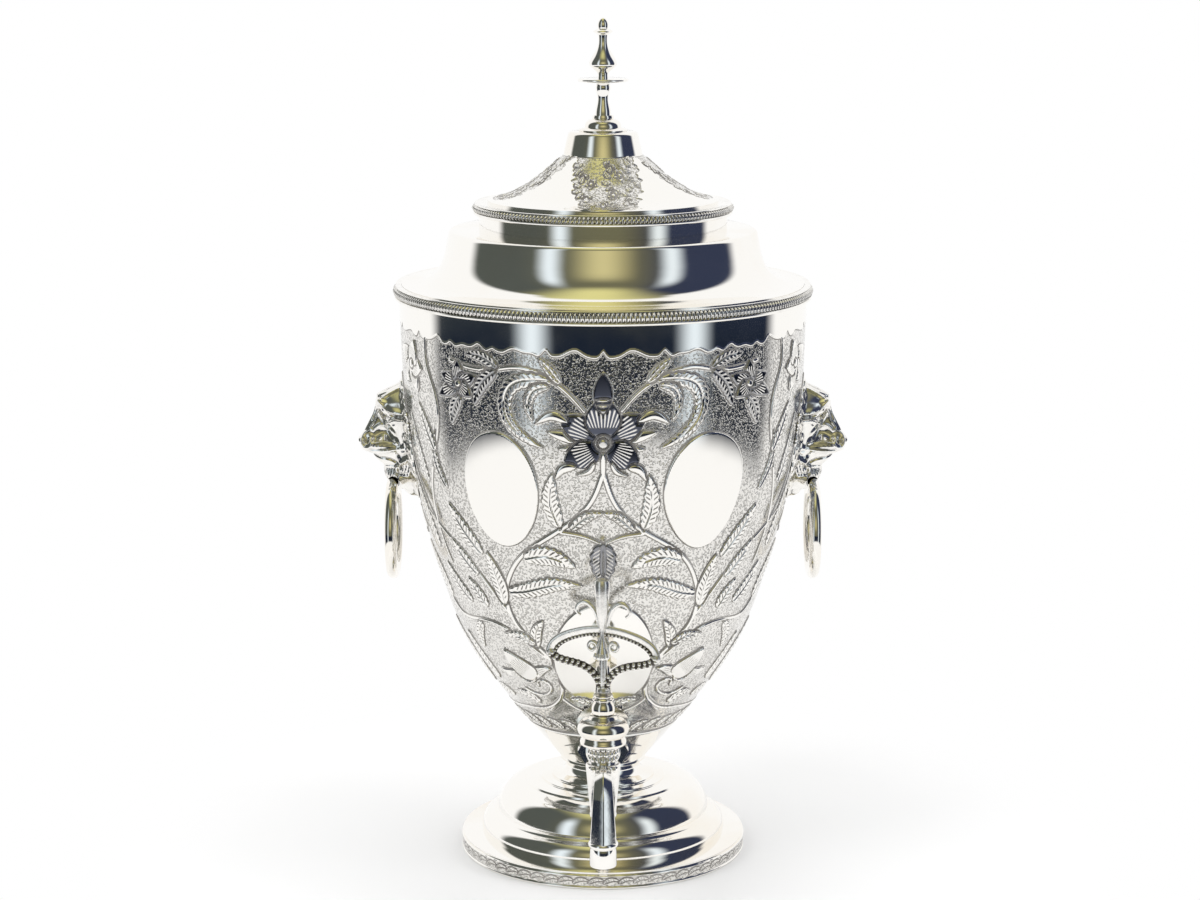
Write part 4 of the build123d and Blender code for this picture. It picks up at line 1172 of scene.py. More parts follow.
# %% The sprays of the lid
lid_places = (4.0, 94.0, 184.0, 274.0)
spray_leaves = 46
spray_start = 24.5
spray_reach = 33
sprig = 4.6
golden_turn = radians(137.5)
lid_flowers = ((-14, 38), (12, 33), (3, 46), (-4, 55))
lid_chased = (22.4, 42, 19.5)
lid_depth = 0.33
lid_curve = np.array([(65.0, 378.6), *lid_profile])


def on_lid(angle, radius):
    """Point of the lid's skirt at an angle and a radius."""
    return around_axis(angle, radius, np.interp(radius, lid_curve[::-1, 0], lid_curve[::-1, 1]))


def spray_half(radius):
    """Half the spread of a spray, in degrees, at a radius of the lid."""
    return 36 - 0.8 * (radius - 28)


def draw_lid(work, turn, radius, height):
    """Four sprays on plain metal: curled leaves and small flowers on a stippled ground."""
    near = (turn[:, None] - np.array(lid_places) + 180) % 360 - 180
    beside = np.abs(near).min(1)
    ragged = 2.2 * np.sin(radius * 0.9) + 1.3 * np.sin(radius * 2.3)
    inner, middle, half = lid_chased
    apart = (beside - spray_half(radius) - ragged) * radians(1) * radius
    plain = np.maximum(apart, np.abs(radius - middle) - half)
    everything = np.arange(len(turn))
    work.add(everything, np.where(radius < inner, edge_reach, np.clip(plain, -edge_reach, edge_reach)), 0.0)
    for place in lid_places:
        for number in range(spray_leaves):
            out = spray_start + spray_reach * (number / spray_leaves) ** 0.9
            aside = 0.9 * spray_half(out) * sin(2.1 * number)
            lean = golden_turn * number
            along, across = sprig * cos(lean), sprig * sin(lean) * 57 / out
            halfway = (0.6 * across + 3 * along / out, 0.6 * along - 0.02 * out * across / sprig)
            bend = [(0, 0), halfway, (across, along)]
            work.leaf([(place + aside + a, out + r) for a, r in bend], 1.7, pitch=1.5, moat=0.55, swell=1.0)
        for turned, out in lid_flowers:
            for tip in range(5):
                step = radians(72 * tip + 20)
                tip_at = (place + turned + 5.2 * cos(step) * 40 / out, out + 3.8 * sin(step))
                work.petal([(place + turned, out), tip_at], 1.7, 3, 0.4, 0.8)
            work.oval((place + turned, out), 1.1, 1.1, 1.2, 0.3)


lid = spun("lid_shell_dressed", walled(lid_line, lid_wall), 560)
chase(lid, on_lid, draw_lid, lid_depth)
settle(lid, chased, "lid", "chased_silver", "lid_shell")

# %% The leaf of the foot's edge
band_outer = 82.2
band_middle = 4.2
band_half = 2.4
band_depth = 0.15


def draw_edge(work, turn, radius, height):
    """A running leaf round the foot's upright edge."""
    everything = np.arange(len(turn))
    struck = (np.abs(height - band_middle) < band_half) & (radius > band_outer - 0.2)
    work.add(everything, np.where(struck, -edge_reach, edge_reach), 0.0)
    for place in np.arange(-180, 180, 6.0):
        work.leaf([(place, 3.2), (place + 3, 5.4), (place + 6.4, 4.8)], 1.2, pitch=1.6, moat=0.3)


def on_edge(angle, height):
    return around_axis(angle, band_outer, height)


foot_band = spun("foot_edge_band_dressed", band_outline, 720)
chase(foot_band, on_edge, draw_edge, band_depth)
settle(foot_band, chased, "urn", "silver_plate", "foot_edge_band")

# %% [markdown]
# ## Lion masks with drop rings
# Each mask is a small cast head that holds a ring in its mouth. Such a head is mostly planes that meet at
# ridges: brow, cheek, muzzle and jaw. So its skull, its muzzle and its chin are built from level slices: a
# sphere's rings become slices whose length and width follow a profile and a breadth. A plane that widens
# downwards mirrors the dark room, and one that narrows downwards mirrors the table. Then ridges, folds and
# hair are raised or sunk along lines on the skin, as a modeller does with a tool in wax.

# %% Slices of the head: heights from the ring's eye, fronts before it, and half widths
mask_eye = (120.5, 0.0, 216.0)
skull = [(-9, -12, 2), (-6, -8, 6), (-2, -4, 9.6), (3, -2.5, 11.4), (8, -1.5, 12.6), (14, -0.5, 13.2)]
skull += [(22, 0.5, 13.8), (27, 1.5, 13.8), (31, 2.5, 15.8), (36, 4.4, 18), (38, 4.8, 18), (40, 2.6, 16.2)]
skull += [(42, 5, 18.2), (43.5, 7.5, 17.8), (48, 8.4, 14.6), (51, 8.2, 11.4), (54, 3, 8.8), (58, -4.5, 6.0)]
skull += [(61, -10, 2)]
muzzle = [(9, 3, 5), (12, 7, 7), (14.7, 9.8, 8.4), (17.8, 13.2, 9.4), (19.5, 16.4, 10), (22.4, 18.4, 10.4)]
muzzle += [(24.6, 19.2, 9), (27, 18.4, 6.2), (31, 15.8, 4), (38, 12.2, 3.1), (44, 9.6, 3.6), (48, 9.4, 5)]
muzzle += [(51, 8.0, 4)]
chin = [(-4, -3, 3), (-2, 0, 5), (1, 3, 7), (5, 4.8, 7.6), (10, 5.2, 6.8), (13, 4, 5)]
square_corners = 2.6
head_back = 95.0
locks = 13
mane_half = (25.8, 35.2)
mane_middle = 26.0
print("Slices:", len(skull), "of the skull,", len(muzzle), "of the muzzle and", len(chin), "of the chin")

# %% Marks on the side of the head: a path of fronts and heights, a width and a height
ridges = [
    ([(-9, 61), (-2, 57.4), (8.6, 50.6)], 0.8, 1.1),
    ([(-11, 57), (-3.5, 54.6), (6.6, 48.6)], 0.7, 1.0),
    ([(-13, 43), (-2.5, 42.8), (2.4, 44.4), (6.6, 48.6)], 0.65, 1.0),
    ([(-13, 38.4), (-6, 38), (-1, 37.4), (2.6, 35.4), (5, 37), (7, 41)], 0.65, 0.9),
    ([(-2, 28), (1, 31.4), (5.4, 34), (10.8, 30.4)], 0.7, 0.8),
    ([(-4, 24.2), (4, 24.6), (11, 23.6)], 0.6, 0.7),
    ([(7, 44), (8.8, 38), (12.6, 32.2)], 0.6, 0.7),
    ([(11.6, 31), (15.6, 28.8), (17, 25), (15, 21), (12, 22.2), (12.4, 25.6)], 0.6, 0.7),
    ([(-7, 21.6), (2, 19.8), (12, 18.8)], 0.8, 0.6),
    ([(-11, 16), (-5, 12), (-2, 7), (-4, 1)], 0.8, 0.8),
]
folds = [
    ([(14.2, 25.6), (14.8, 24)], 1.0, -1.5),
    ([(12.6, 17), (8, 15.4), (1, 14.4), (-5, 10)], 0.75, -1.4),
    ([(-0.4, 27.2), (4, 29.6), (9.4, 27.2)], 2.0, -1.3),
    ([(-12, 40.4), (-3, 40), (1.4, 41.6)], 0.8, -0.9),
    ([(-12, 46.5), (-4, 46), (2, 47.4)], 2.0, -0.8),
    ([(10.6, 36), (9.6, 40), (8.6, 43.4)], 0.5, -0.5),
    ([(-11, 19.6), (-6, 16.6)], 0.6, -0.6),
    ([(-12, 25.6), (-7, 24.6)], 0.6, -0.6),
]
folds += [([(-12.5, step), (-8.6, step + 0.7)], 0.4, -0.55) for step in np.arange(28, 37, 2.3)]
folds += [([(-11.5, step), (-9.2, step + 0.6)], 0.4, -0.55) for step in np.arange(47, 57, 2.6)]
folds += [([(-10 + step, 12), (-8.5 + step, 6)], 0.45, -0.7) for step in np.arange(0, 6, 1.7)]
folds += [([(-1 + step, 9), (0.6 + step, 2)], 0.45, -0.8) for step in np.arange(0, 6, 1.5)]
print("Marks on the side:", len(ridges), "ridges and", len(folds), "folds")

# %% Marks on the front of the face: a path of half widths and heights, a width and a height
face = [
    ([(4.5, 40.2), (8.5, 39.6), (12.5, 41)], 2.6, -2.4),
    ([(7.6, 40.4), (9.6, 40.6)], 1.9, 3.4),
    ([(5.0, 40), (8.6, 42.6), (12.8, 40.4)], 0.6, 0.9),
    ([(5.4, 39.6), (8.6, 37.9), (12.4, 39.8)], 0.6, 0.8),
    ([(2.4, 43.8), (6.4, 47.4), (11, 47.4), (14.6, 44)], 1.4, 1.7),
    ([(1.6, 50), (2.2, 57)], 0.7, -0.8),
    ([(5, 51), (6.6, 56)], 0.7, -0.7),
    ([(4.6, 20.4), (7.4, 22.4)], 2.6, 1.3),
    ([(1.6, 25.4), (3.7, 23.6)], 0.9, 0.8),
    ([(2.1, 22.4), (2.9, 22.9)], 0.8, -1.5),
    ([(0, 21.6), (0, 18)], 0.6, -1.0),
    ([(0, 17.6), (4.6, 16.5), (8.6, 17.8)], 0.8, -1.4),
    ([(4.6, 31.5), (8.6, 27.4), (11, 20.5)], 0.9, -1.2),
    ([(12.6, 34), (13.2, 27), (11.4, 20)], 1.6, 1.0),
    ([(1.5, 9), (2, 3)], 0.6, -0.7),
    ([(4.4, 9), (5, 3)], 0.6, -0.7),
]
whisker_step = 1.9
whisker_rows = ((4.4, 4.9, 19.6, 19.7, 0.8, 3), (5.2, 5.7, 22.2, 22.3, 0.5, 2))
for first, last, low, high, climb, count in whisker_rows:
    for dot in range(count):
        out, up = whisker_step * dot, climb * dot
        face.append(([(first + out, low + up), (last + out, high + up)], 0.45, -0.7))
print("Marks on the face:", len(face))


# %% Model the slices and the mane
def pushed(here, normals, marks, across, facing):
    """Points moved along their normals near marks that are drawn on the side or on the front of the head."""
    rise = np.zeros(len(here))
    place = np.abs(here - mask_eye)[:, [1, 2]] if across == 1 else (here - mask_eye)[:, [0, 2]]
    for path, width, height in marks:
        line = flow(path, 6 if len(path) > 2 else 1)
        start, run = line[:-1], np.diff(line, axis=0)
        past = np.clip(((place[:, None] - start) * run).sum(2) / (run**2).sum(1), 0, 1)
        away = np.linalg.norm(place[:, None] - start - past[..., None] * run, axis=2).min(1)
        rise += height * np.exp(-((away / width) ** 2))
    return here + normals * (rise * facing)[:, None]


def sliced(name, slices):
    """A closed solid of level slices: rows of height, front and half width, all from the ring's eye."""
    bpy.ops.object.select_all(action="DESELECT")
    bpy.ops.mesh.primitive_uv_sphere_add(segments=128, ring_count=96, radius=MM)
    piece = added(name)
    unit = points_of(piece)
    heights, fronts, breadths = np.array(slices, float).T
    lift = np.arcsin(np.clip(unit[:, 2], -1, 1)) / pi + 0.5
    height = heights[0] + lift * (heights[-1] - heights[0])
    turn = np.arctan2(unit[:, 1], unit[:, 0])
    end = np.clip(np.minimum(lift, 1 - lift) * 60, 0, 1) ** 0.5
    front = mask_eye[0] + np.interp(height, heights, fronts)
    breadth = np.interp(height, heights, breadths)
    power = 2 / square_corners
    out = head_back + end * (front - head_back) * np.maximum(np.cos(turn), 0) ** power
    out = np.where(np.cos(turn) < 0, head_back + 2 * np.cos(turn), out)
    aside = end * breadth * np.sign(np.sin(turn)) * np.abs(np.sin(turn)) ** power
    move_points(piece, np.stack([out, aside, mask_eye[2] + height], axis=1))
    return piece


def mane():
    """A flat lens of locks that lies on the bowl round the face."""
    bpy.ops.object.select_all(action="DESELECT")
    bpy.ops.mesh.primitive_uv_sphere_add(segments=312, ring_count=48, radius=MM)
    piece = added("mane")
    unit = points_of(piece)
    share = np.hypot(unit[:, 0], unit[:, 1])
    turn = np.arctan2(unit[:, 0], unit[:, 1])
    lock = np.abs(np.sin(locks * turn + 2.2 * share))
    reach = share * (0.94 + 0.06 * lock**0.5)
    aside = mane_half[0] * reach * np.sin(turn)
    height = mask_eye[2] + mane_middle + mane_half[1] * reach * np.cos(turn)
    wall = np.sqrt(np.maximum(bowl_radius(height), np.abs(aside)) ** 2 - aside**2)
    strand = np.abs(np.sin(3 * locks * turn + 5.5 * share))
    thick = 0.6 + 2.6 * (1 - share) + (0.9 * lock + 0.45 * strand) * share * (1.2 - share) * 2.2
    out = wall + np.where(unit[:, 2] > 0, thick, -1.0)
    move_points(piece, np.stack([out, aside, height], axis=1))
    return piece


# %% Join the slices and press the marks in
def joined(name, pieces):
    bpy.ops.object.select_all(action="DESELECT")
    for piece in pieces:
        piece.select_set(True)
    bpy.context.view_layer.objects.active = pieces[0]
    bpy.ops.object.join()
    pieces[0].name = name
    return pieces[0]


def apply_modifier(piece, kind, **settings):
    only(piece)
    modifier = piece.modifiers.new(kind.lower(), kind)
    for setting, value in settings.items():
        setattr(modifier, setting, value)
    bpy.ops.object.modifier_apply(modifier=modifier.name)


def remeshed(piece, voxel, rounds=2, factor=0.5):
    apply_modifier(piece, "REMESH", mode="VOXEL", voxel_size=voxel * MM)
    apply_modifier(piece, "SMOOTH", factor=factor, iterations=rounds)
    only(piece)
    bpy.ops.object.shade_smooth()
    return piece


def lion_head():
    parts = [sliced("skull", skull), sliced("muzzle", muzzle), sliced("chin", chin), mane()]
    head = remeshed(joined("mask_right_dressed", parts), 0.48, 3, 0.5)
    for marks, across in ((face, 1), (ridges, 0), (folds, 0)):
        here, normals = points_of(head), normals_of(head)
        if across == 1:
            facing = np.clip(normals[:, 0] * 1.6 - 0.2, 0, 1) * (here[:, 0] > mask_eye[0] - 8)
        else:
            facing = np.clip(np.abs(normals[:, 1]) * 2, 0, 1)
        move_points(head, pushed(here, normals, marks, across, facing))
        head.data.update()
    return remeshed(head, 0.46, 1, 0.35)


head = lion_head()
print("Head:", len(head.data.polygons), "faces")

# %% [markdown]
# The back of the head is cut to the bowl's own curve, and the way through the mouth is cut as a throat that
# opens at both ends, as the round ring needs when it swings. Then the depth of each point below its
# neighbours is kept on the mesh: this is where the finish paints oxide and shade in the hollows.


# %% Measure the hollows
def mark_hollows(piece, reach=1.0, rounds=2):
    """Keep on each point how deep it lies below its neighbours, from 0 to 1."""
    places, normals = points_of(piece), normals_of(piece)
    count = len(places)
    edges = np.empty(len(piece.data.edges) * 2, int)
    piece.data.edges.foreach_get("vertices", edges)
    edges = edges.reshape(-1, 2)
    a, b = edges.T.ravel(), edges[:, ::-1].T.ravel()
    many = np.maximum(np.bincount(a, minlength=count), 1)
    run = places[b] - places[a]
    rise = (run * normals[a]).sum(1) / np.maximum(np.linalg.norm(run, axis=1), 1e-6)
    hollow = np.bincount(a, rise, count) / many
    for _ in range(rounds):
        hollow = 0.5 * hollow + 0.5 * np.bincount(a, hollow[b], count) / many
    keep_number(piece, "hollow", np.clip(hollow * reach, 0, 1))


print("Hollows are measured from each point's neighbours")

# %% Cut the back and the mouth
ring_radius = 26.4
ring_wire = 3.4
throat_half = 12.0
throat_end = 21.0
throat_back = 16.0
throat_gap = 0.12
back_gap = 0.15


def cut_away(piece, cutter):
    apply_modifier(piece, "BOOLEAN", operation="DIFFERENCE", object=cutter, solver="MANIFOLD")
    bpy.data.objects.remove(cutter, do_unlink=True)
    print(piece.name, "cut back to", len(piece.data.polygons), "faces")


bowl_side = [(bowl_radius(z) + back_gap, z) for z in np.linspace(190, 295, 40)]
bowl_cutter = spun("bowl_cutter", [(0, 190), *bowl_side, (0, 295), (0, 190)], 360)
cut_away(head, bowl_cutter)

reach = ring_radius - ring_wire - throat_gap
throat = [(ring_radius - (reach**2 - y**2) ** 0.5, y) for y in np.linspace(-throat_half, throat_half, 17)]
throat += [(throat_back, throat_end), (0, throat_end), (0, -throat_end), (throat_back, -throat_end)]
ring_cutter = spun("ring_cutter", [*throat, throat[0]], 96)
ring_cutter.rotation_euler = (radians(-90), 0, 0)
ring_cutter.location = [c * MM for c in mask_eye]
only(ring_cutter)
bpy.ops.object.transform_apply(location=True, rotation=True)
cut_away(head, ring_cutter)
only(head)
bpy.ops.object.shade_smooth_by_angle(angle=radians(50))
mark_hollows(head, 3.0, 3)

# %% Mirror the head for the left side
bpy.ops.object.duplicate()
left_head = added("mask_left_dressed")
left_head.scale = (-1, 1, 1)
bpy.ops.object.transform_apply(location=False, rotation=False, scale=True)
bpy.ops.object.mode_set(mode="EDIT")
bpy.ops.mesh.select_all(action="SELECT")
bpy.ops.mesh.normals_make_consistent(inside=False)
bpy.ops.object.mode_set(mode="OBJECT")
settle(head, cast, "urn", "silver_plate", "mask_right")
settle(left_head, cast, "urn", "silver_plate", "mask_left")

# %% [markdown]
# ## The tap
# The tap is a tapered barrel with a plug that turns in it. Its spout is hexagonal: it leaves the barrel
# forwards, turns down in a quarter circle and ends in a ringed mouth. A hexagon is drawn once, its corners
# are rounded, and it is extruded, spun through the bend and extruded again.

# %% Draw the spout
tap_out = 124.0
spout_out = 145.0
water_height = 87.0
spout_bottom = 50.0
spout_flats = 13.2
spout_bend = 10.0
spout_corner = 0.55
spout_height = 83.5
spout_root = 0.66
spout_bent = 0.84
spout_end = 1.08


def pick_vertices(test):
    """Select in edit mode the vertices whose place, in millimetres, passes the test."""
    bpy.ops.mesh.select_all(action="DESELECT")
    bpy.ops.object.mode_set(mode="OBJECT")
    for vertex in bpy.context.object.data.vertices:
        vertex.select = bool(test(*[c / MM for c in vertex.co]))
    bpy.ops.object.mode_set(mode="EDIT")


def spout():
    bpy.ops.object.select_all(action="DESELECT")
    bpy.ops.mesh.primitive_circle_add(
        vertices=6, radius=spout_flats / 3**0.5 * MM, location=(0, -tap_out * MM, spout_height * MM),
        rotation=(radians(90), 0, 0),
    )
    piece = added("tap_spout")
    bpy.ops.object.transform_apply(location=True, rotation=True)
    bpy.ops.object.mode_set(mode="EDIT")
    bpy.ops.mesh.select_all(action="SELECT")
    bpy.ops.mesh.bevel(offset=spout_corner * MM, segments=3, affect="VERTICES")
    bpy.ops.mesh.select_all(action="SELECT")
    bend_start = -(spout_out - spout_bend)
    bpy.ops.mesh.extrude_region_move(TRANSFORM_OT_translate={"value": (0, (bend_start + tap_out) * MM, 0)})
    bpy.ops.mesh.spin(
        steps=24, angle=pi / 2, axis=(-1, 0, 0),
        center=(0, bend_start * MM, (spout_height - spout_bend) * MM),
    )
    down = spout_bottom - (spout_height - spout_bend)
    bpy.ops.mesh.extrude_region_move(TRANSFORM_OT_translate={"value": (0, 0, down * MM)})
    bpy.ops.mesh.edge_face_add()
    pick_vertices(lambda x, y, z: abs(y + tap_out) < 0.01)
    bpy.ops.mesh.edge_face_add()
    bpy.ops.mesh.select_all(action="SELECT")
    bpy.ops.mesh.normals_make_consistent(inside=False)
    bpy.ops.object.mode_set(mode="OBJECT")
    flare(piece)
    bpy.ops.object.shade_smooth_by_angle(angle=radians(25))
    return piece


def flare(piece):
    """Widen the spout from its root to its end, about its own middle line."""
    here = points_of(piece)
    corner = np.array([0, -(spout_out - spout_bend), spout_height - spout_bend])
    turn = np.arctan2(-(here[:, 1] - corner[1]), here[:, 2] - corner[2])
    round_bend = np.clip(turn, 0, pi / 2)
    middle = corner + spout_bend * np.stack([0 * turn, -np.sin(round_bend), np.cos(round_bend)], axis=1)
    middle[:, 1] = np.where(turn <= 0, here[:, 1], middle[:, 1])
    middle[:, 2] = np.where(turn >= pi / 2, here[:, 2], middle[:, 2])
    run = np.clip((corner[2] - here[:, 2]) / (corner[2] - spout_bottom), 0, 1)
    size = spout_root + (spout_bent - spout_root) * round_bend / (pi / 2) + (spout_end - spout_bent) * run
    move_points(piece, middle + (here - middle) * size[:, None])


print("Spout: bend at", spout_out, "mm in front of the urn's middle, mouth at", spout_bottom, "mm")

# %% Turn the barrel and its tail
barrel_outline = [(4.9, 57.0), (7.0, 57.0), (7.3, 57.6), (7.3, 58.8), (7.0, 59.4), (9.4, 85.2)]
barrel_outline += [*arc((9.4, 85.2), (9.0, 86.9), (8.0, 87.5), 5), (7.6, 88.2), (7.5, 98.0), (8.4, 98.8)]
barrel_outline += [(8.4, 100.4), (7.8, 101.0), (6.75, 101.0), (4.9, 57.0)]
barrel = spun("tap_barrel", barrel_outline, 96, (0, -tap_out))
tail_outline = [(3.2, -22.8), (9.5, -22.8), (9.5, -20.8), (8.0, -20.2), (8.0, -8.5), (3.2, -8.5)]
tail_outline.append(tail_outline[0])
tail = spun("tap_tail", tail_outline, 72)
tail.rotation_euler = (radians(90), 0, 0)
tail.location = (0, -tap_out * MM, water_height * MM)
only(tail)
bpy.ops.object.transform_apply(location=True, rotation=True)

print("Barrel and tail:", len(barrel.data.polygons) + len(tail.data.polygons), "faces")

# %% Dress the neck of the barrel and the root of the spout
neck_radius = 7.5
neck_rows = ((96.4, 1.15, 18, 0.0), (93.6, 1.45, 16, 0.5), (90.4, 1.35, 16, 0.0))
drops = ((0.0, 1.3, 3.2), (3.2, 1.0, 2.2), (-3.2, 1.0, 2.2), (6.0, 0.9, 1.7), (-6.0, 0.9, 1.7))
drop_reach = 9.6
drop_top = 87.0


def bead(place, size, turn=(0, 0, 0)):
    bpy.ops.object.select_all(action="DESELECT")
    bpy.ops.mesh.primitive_uv_sphere_add(
        segments=16, ring_count=10, radius=MM, location=[c * MM for c in place], rotation=turn, scale=size
    )
    bpy.ops.object.shade_smooth()
    return bpy.context.object


root_parts = []
for height, size, count, shift in neck_rows:
    for number in range(count):
        turn = tau * (number + shift) / count
        place = (neck_radius * sin(turn), -tap_out - neck_radius * cos(turn), height)
        root_parts.append(bead(place, (size, size * 0.8, size * 1.25), (0, 0, turn)))
for side, size, length in drops:
    place = (side, -tap_out - (drop_reach**2 - side**2) ** 0.5 - 0.5, drop_top - 0.8 * length)
    root_parts.append(bead(place, (size, 0.9, length)))
tap_body = joined("tap_body_dressed", [spout(), barrel, tail, *root_parts])
# The tap's hollows are painted dark by the finish: oxide and painted shade.
mark_hollows(tap_body, 1.0, 1)
settle(tap_body, cast, "urn", "silver_plate", "tap_body")

# %% Turn the mouth and the bonnet
mouth_outline = [(4.0, 50.0), (7.4, 50.0), *arc((7.4, 50.0), (8.1, 48.6), (7.2, 47.2), 8), (6.9, 46.6)]
mouth_outline += [(7.1, 45.0), (7.3, 37.4), (7.0, 36.6), (6.4, 36.3), (5.0, 36.3), (5.0, 47.0), (4.0, 47.0)]
mouth_outline += [(4.0, 50.0)]
spun_silver("spout_nozzle", mouth_outline, 96, "urn", (0, -spout_out))

bonnet_outline = [(10.8, 98.0), (12.0, 98.0), *arc((12.0, 98.0), (12.5, 99.2), (12.2, 100.6), 5)]
bonnet_outline += [(11.8, 101.3), (11.8, 102.6), *arc((12.0, 102.8), (13.9, 107.0), (10.4, 111.6), 14)]
bonnet_outline += [(9.4, 112.0), (8.4, 112.4), (7.4, 113.8)]
bonnet_outline += arc((7.4, 113.8), (6.6, 114.5), (5.8, 114.5), 4)
bonnet_outline += [(5.1, 114.5), (5.1, 103.0), (10.8, 103.0), (10.8, 98.0)]
spun_silver("tap_bonnet", bonnet_outline, 128, "tap_key", (0, -tap_out))

# %% [markdown]
# ## The key
# The key that turns the plug is a small cast handle: two beaded arms rise from a ringed collar and carry a
# flat hoop, and a lily stands in the hoop, with a claw foot, two scrolls and two curls. It is drawn in an
# upright plane and then turned a little, as the photograph shows it.

# %% Sizes of the key
key_turn = 14.5
collar_outline = [(5.1, 114.6), (5.9, 114.9), (6.2, 116.4)]
collar_outline += arc((6.2, 116.4), (6.0, 119.4), (4.9, 121.6), 8)
collar_outline += [(4.9, 122.0), *arc((4.9, 122.0), (5.9, 122.9), (4.9, 123.8), 6), (5.2, 124.3)]
collar_outline += [(5.4, 124.9), (5.0, 125.4), (0, 125.4), (0, 120.1), (5.1, 120.1), (5.1, 114.6)]
arm_path = [(0.6, 127.5), (2.4, 132.5), (7.8, 139.0), (14, 141.6), (20, 142.8), (26, 144.6), (29.6, 147.2)]
arm_rows = 12
arm_radius = 2.0
bead_radius = 1.1
bead_out = 1.6
hoop_path = [(-29.2, 147.2), (-28.2, 150.8), (-24.0, 155.0), (-16.2, 158.4), (-7.7, 160.4), (0, 160.9)]
hoop_tall = 2.6
hoop_share = 0.5
hoop_lean = 0.32
inner_beads = 16
inner_bead = 0.7
inner_drop = 2.2
inner_share = 0.93
inner_edge = 0.9
arm_turns = [radians(turn) for turn in (-125, -60, 60, 125)]
petal_front = 2.3
petal_sides = [(0, 145.8), (3.9, 145.9), (4.1, 147.0), (3.3, 149.6), (1.9, 152.8), (1.05, 157.5), (1.5, 163)]
petal_sides += [(2.4, 168), (3.2, 172.5), (3.65, 176.5), (4.05, 182), (4.4, 187), (3.9, 188.9), (2.4, 189.9)]
petal_sides += [(0, 190.3)]
print("Key:", round(petal_sides[-1][1] - collar_outline[0][1], 1), "mm tall, turned", key_turn, "degrees")


# %% Wires, beads and a flat band
def in_plane(points):
    return [(x, 0, z) for x, z in points]


def mirrored(points):
    return [(-x, y, z) for x, y, z in points]


def wire(name, path, radii, resolution=5):
    """A round wire along points in millimetres, with its radius at each."""
    bpy.ops.object.select_all(action="DESELECT")
    bpy.ops.curve.primitive_nurbs_path_add()
    piece = added(name)
    curve = piece.data
    curve.splines.clear()
    spline = curve.splines.new("POLY")
    spline.points.add(len(path) - 1)
    for point, place, radius in zip(spline.points, path, radii):
        point.co = (*[c * MM for c in place], 1)
        point.radius = radius * MM
    curve.bevel_depth = 1.0
    curve.bevel_resolution = resolution
    curve.use_fill_caps = True
    only(piece)
    bpy.ops.object.convert(target="MESH")
    return bpy.context.object


def marked(piece, value):
    """Give a whole piece one depth of hollow, which its finish paints dark as painted shade and oxide."""
    keep_number(piece, "hollow", np.full(len(piece.data.vertices), value))
    return piece


def beads_on(path, rows, out, size, turns):
    """Rows of beads along a path in the key's plane, at turns round it, each a copy of one bead."""
    line = flow(in_plane(path), 24)
    along = np.gradient(line, axis=0)
    first = marked(bead((0, 0, 0), (size, size, size)), 0.0)
    made = []
    for number in range(rows):
        at = int((number + 0.5) / rows * (len(line) - 1))
        run = along[at] / np.linalg.norm(along[at])
        across = np.array([-run[2], 0, run[0]])
        for which, turn in enumerate(turns):
            shift = run * (0.5 * (which % 2)) * size
            place = line[at] + out * (across * cos(turn) + np.array([0, 1, 0]) * sin(turn)) + shift
            copy = first.copy()
            copy.data = first.data.copy()
            bpy.context.collection.objects.link(copy)
            copy.location = [c * MM for c in place]
            made.append(copy)
    bpy.data.objects.remove(first, do_unlink=True)
    return made


def flattened(piece, line):
    """Press a round wire into a band whose face looks a little down."""
    here = points_of(piece)
    nearest = line[np.linalg.norm(here[:, None] - line, axis=2).argmin(1)]
    outwards = nearest - (0, 0, hoop_path[0][1])
    outwards /= np.linalg.norm(outwards, axis=1)[:, None]
    height = ((here - nearest) * outwards).sum(1)
    here[:, 1] = here[:, 1] * hoop_share - hoop_lean * height
    move_points(piece, here)
    return piece


def stand_key(piece):
    piece.rotation_euler = (0, 0, radians(-key_turn))
    piece.location = (0, -tap_out * MM, 0)
    return piece


print("Each arm carries", arm_rows * len(arm_turns), "beads")

# %% Build the frame of the key
collar = spun("handle_collar_dressed", collar_outline, 96)
settle(stand_key(collar), silver, "tap_key", "silver_plate", "handle_collar")

arm_line = flow(in_plane(arm_path), 16)
hoop_line = np.array(in_plane(hoop_path))
hoop_line = flow(np.concatenate([hoop_line, (hoop_line * (-1, 1, 1))[::-1][1:]]), 8)
frame_parts = []
for line in (arm_line, arm_line * (-1, 1, 1)):
    # The arm's wire is painted dark all over, so that it shows as painted shade between the beads.
    frame_parts.append(marked(wire("arm", line, [arm_radius] * len(line), 6), 0.8))
hoop = wire("hoop", hoop_line, [hoop_tall] * len(hoop_line), 8)
frame_parts.append(marked(flattened(hoop, hoop_line), 0.0))
for side in (1, -1):
    inner = [(x * side * inner_share, z - inner_drop) for x, z in hoop_path]
    edge_line = flow(in_plane(inner), 8)
    frame_parts += beads_on([(x * side, z) for x, z in arm_path], arm_rows, bead_out, bead_radius, arm_turns)
    frame_parts += beads_on(inner, inner_beads, inner_bead, inner_bead, [pi * 1.5])
    # The thin wire at the hoop's inner edge is painted dark: painted shade along that edge.
    frame_parts.append(marked(wire("hoop_edge", edge_line, [inner_edge] * len(edge_line), 4), 0.8))
    frame_parts.append(marked(bead((side * 29.2, 0, 147.2), (2.6, 2.2, 2.6)), 0.1))
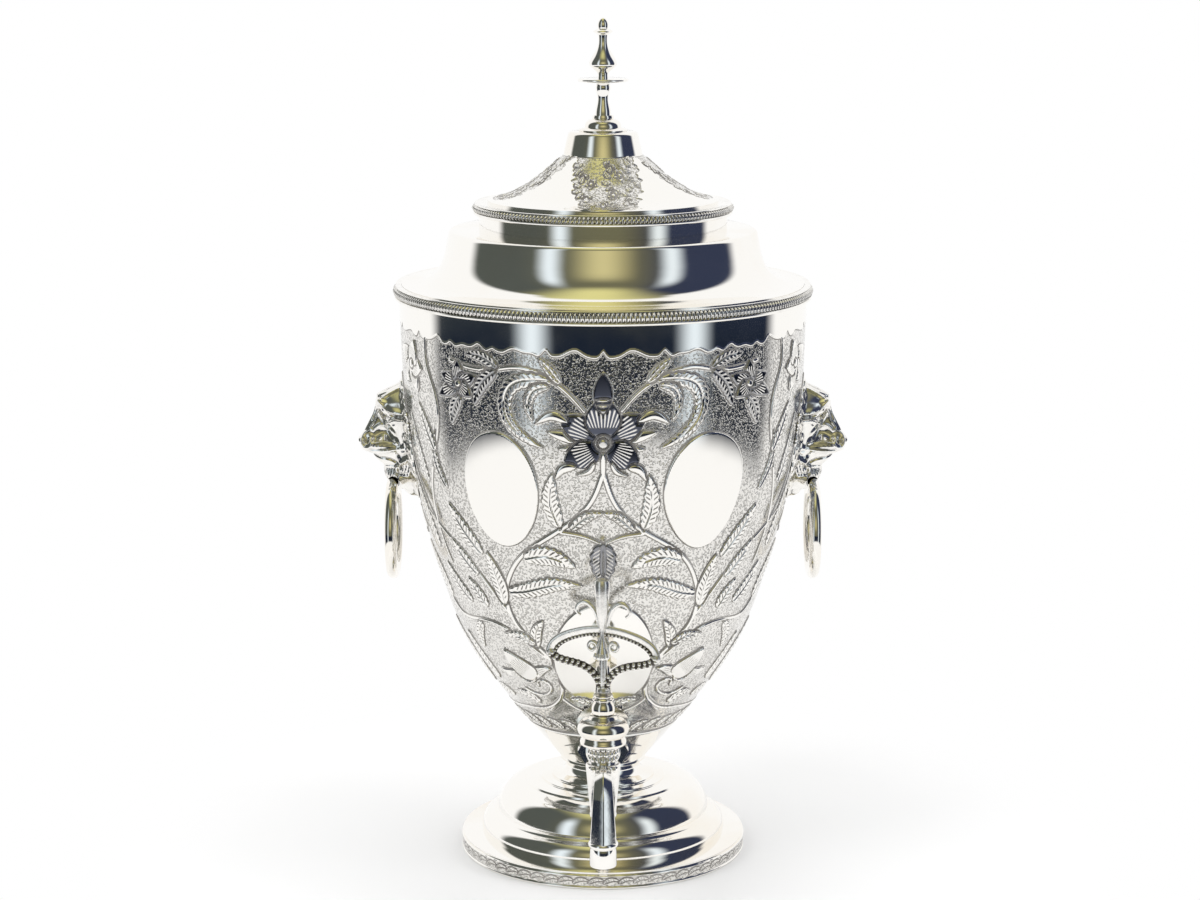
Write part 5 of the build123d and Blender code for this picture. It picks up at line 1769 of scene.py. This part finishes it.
frame_parts.append(marked(bead((0, 0, 127.2), (3.6, 3.2, 2.6)), 0.2))
key_frame = joined("handle_frame_dressed", frame_parts)
settle(stand_key(key_frame), worn, "tap_key", "silver_plate", "handle_frame")

# %% [markdown]
# ## The lily in the hoop
# The grip is a slim bud on a post, with scrolls on both sides. The bud is round in section, so it is spun,
# and the scrolls and curls are tapered wires along smooth paths, which is also how a modeller would roll them
# in wax before casting.

# %% Build the lily
petal = spun("petal", [*petal_sides, (0, 145.8)], 48)
petal.location.y = -petal_front * MM
post = spun("post", [(0, 128.5), (1.9, 128.5), (2.4, 133), (2.2, 146.5), (0, 147), (0, 128.5)], 48)
scroll_path = [(1.2, 160), (2.6, 167), (5.0, 172.6), (9.2, 175.8), (13.2, 174.8), (14.6, 170.8)]
scroll = flow(in_plane([*scroll_path, (12.4, 168.6)]), 6)
scroll_radii = np.interp(np.linspace(0, 1, len(scroll)), [0, 0.5, 0.85, 1], [1.5, 1.7, 1.2, 0.7])
curl_steps = 30
claw_square = 15.2
curl_turns = np.linspace(pi * 0.95, -pi * 1.5, curl_steps)
curl_reach = np.linspace(3.0, 1.1, curl_steps)
curl = [(6.0 + r * cos(t) * 0.95, 0, 151.6 + r * sin(t)) for r, t in zip(curl_reach, curl_turns)]
lily_parts = [post, petal]
for line, radii in ((scroll, scroll_radii), (curl, np.linspace(1.15, 0.8, curl_steps))):
    lily_parts += [wire("scroll", line, radii), wire("scroll", mirrored(line), radii)]
stalk = in_plane([(1.3, 157), (2.2, 154.4), (3.1, 152.2)])
for line in (stalk, mirrored(stalk)):
    lily_parts.append(wire("stalk", line, (1.0, 1.1, 1.15)))
for x in (-3.3, -1.2, 1.2, 3.3):
    lily_parts.append(bead((x, -petal_front - sqrt(claw_square - x * x), 147.4), (0.95, 0.9, 1.9)))
lily = joined("handle_grip_dressed", lily_parts)
# The lily's hollows are painted dark by the finish: oxide and painted shade.
mark_hollows(lily, 1.5)
settle(stand_key(lily), worn, "tap_key", "silver_plate", "handle_grip")
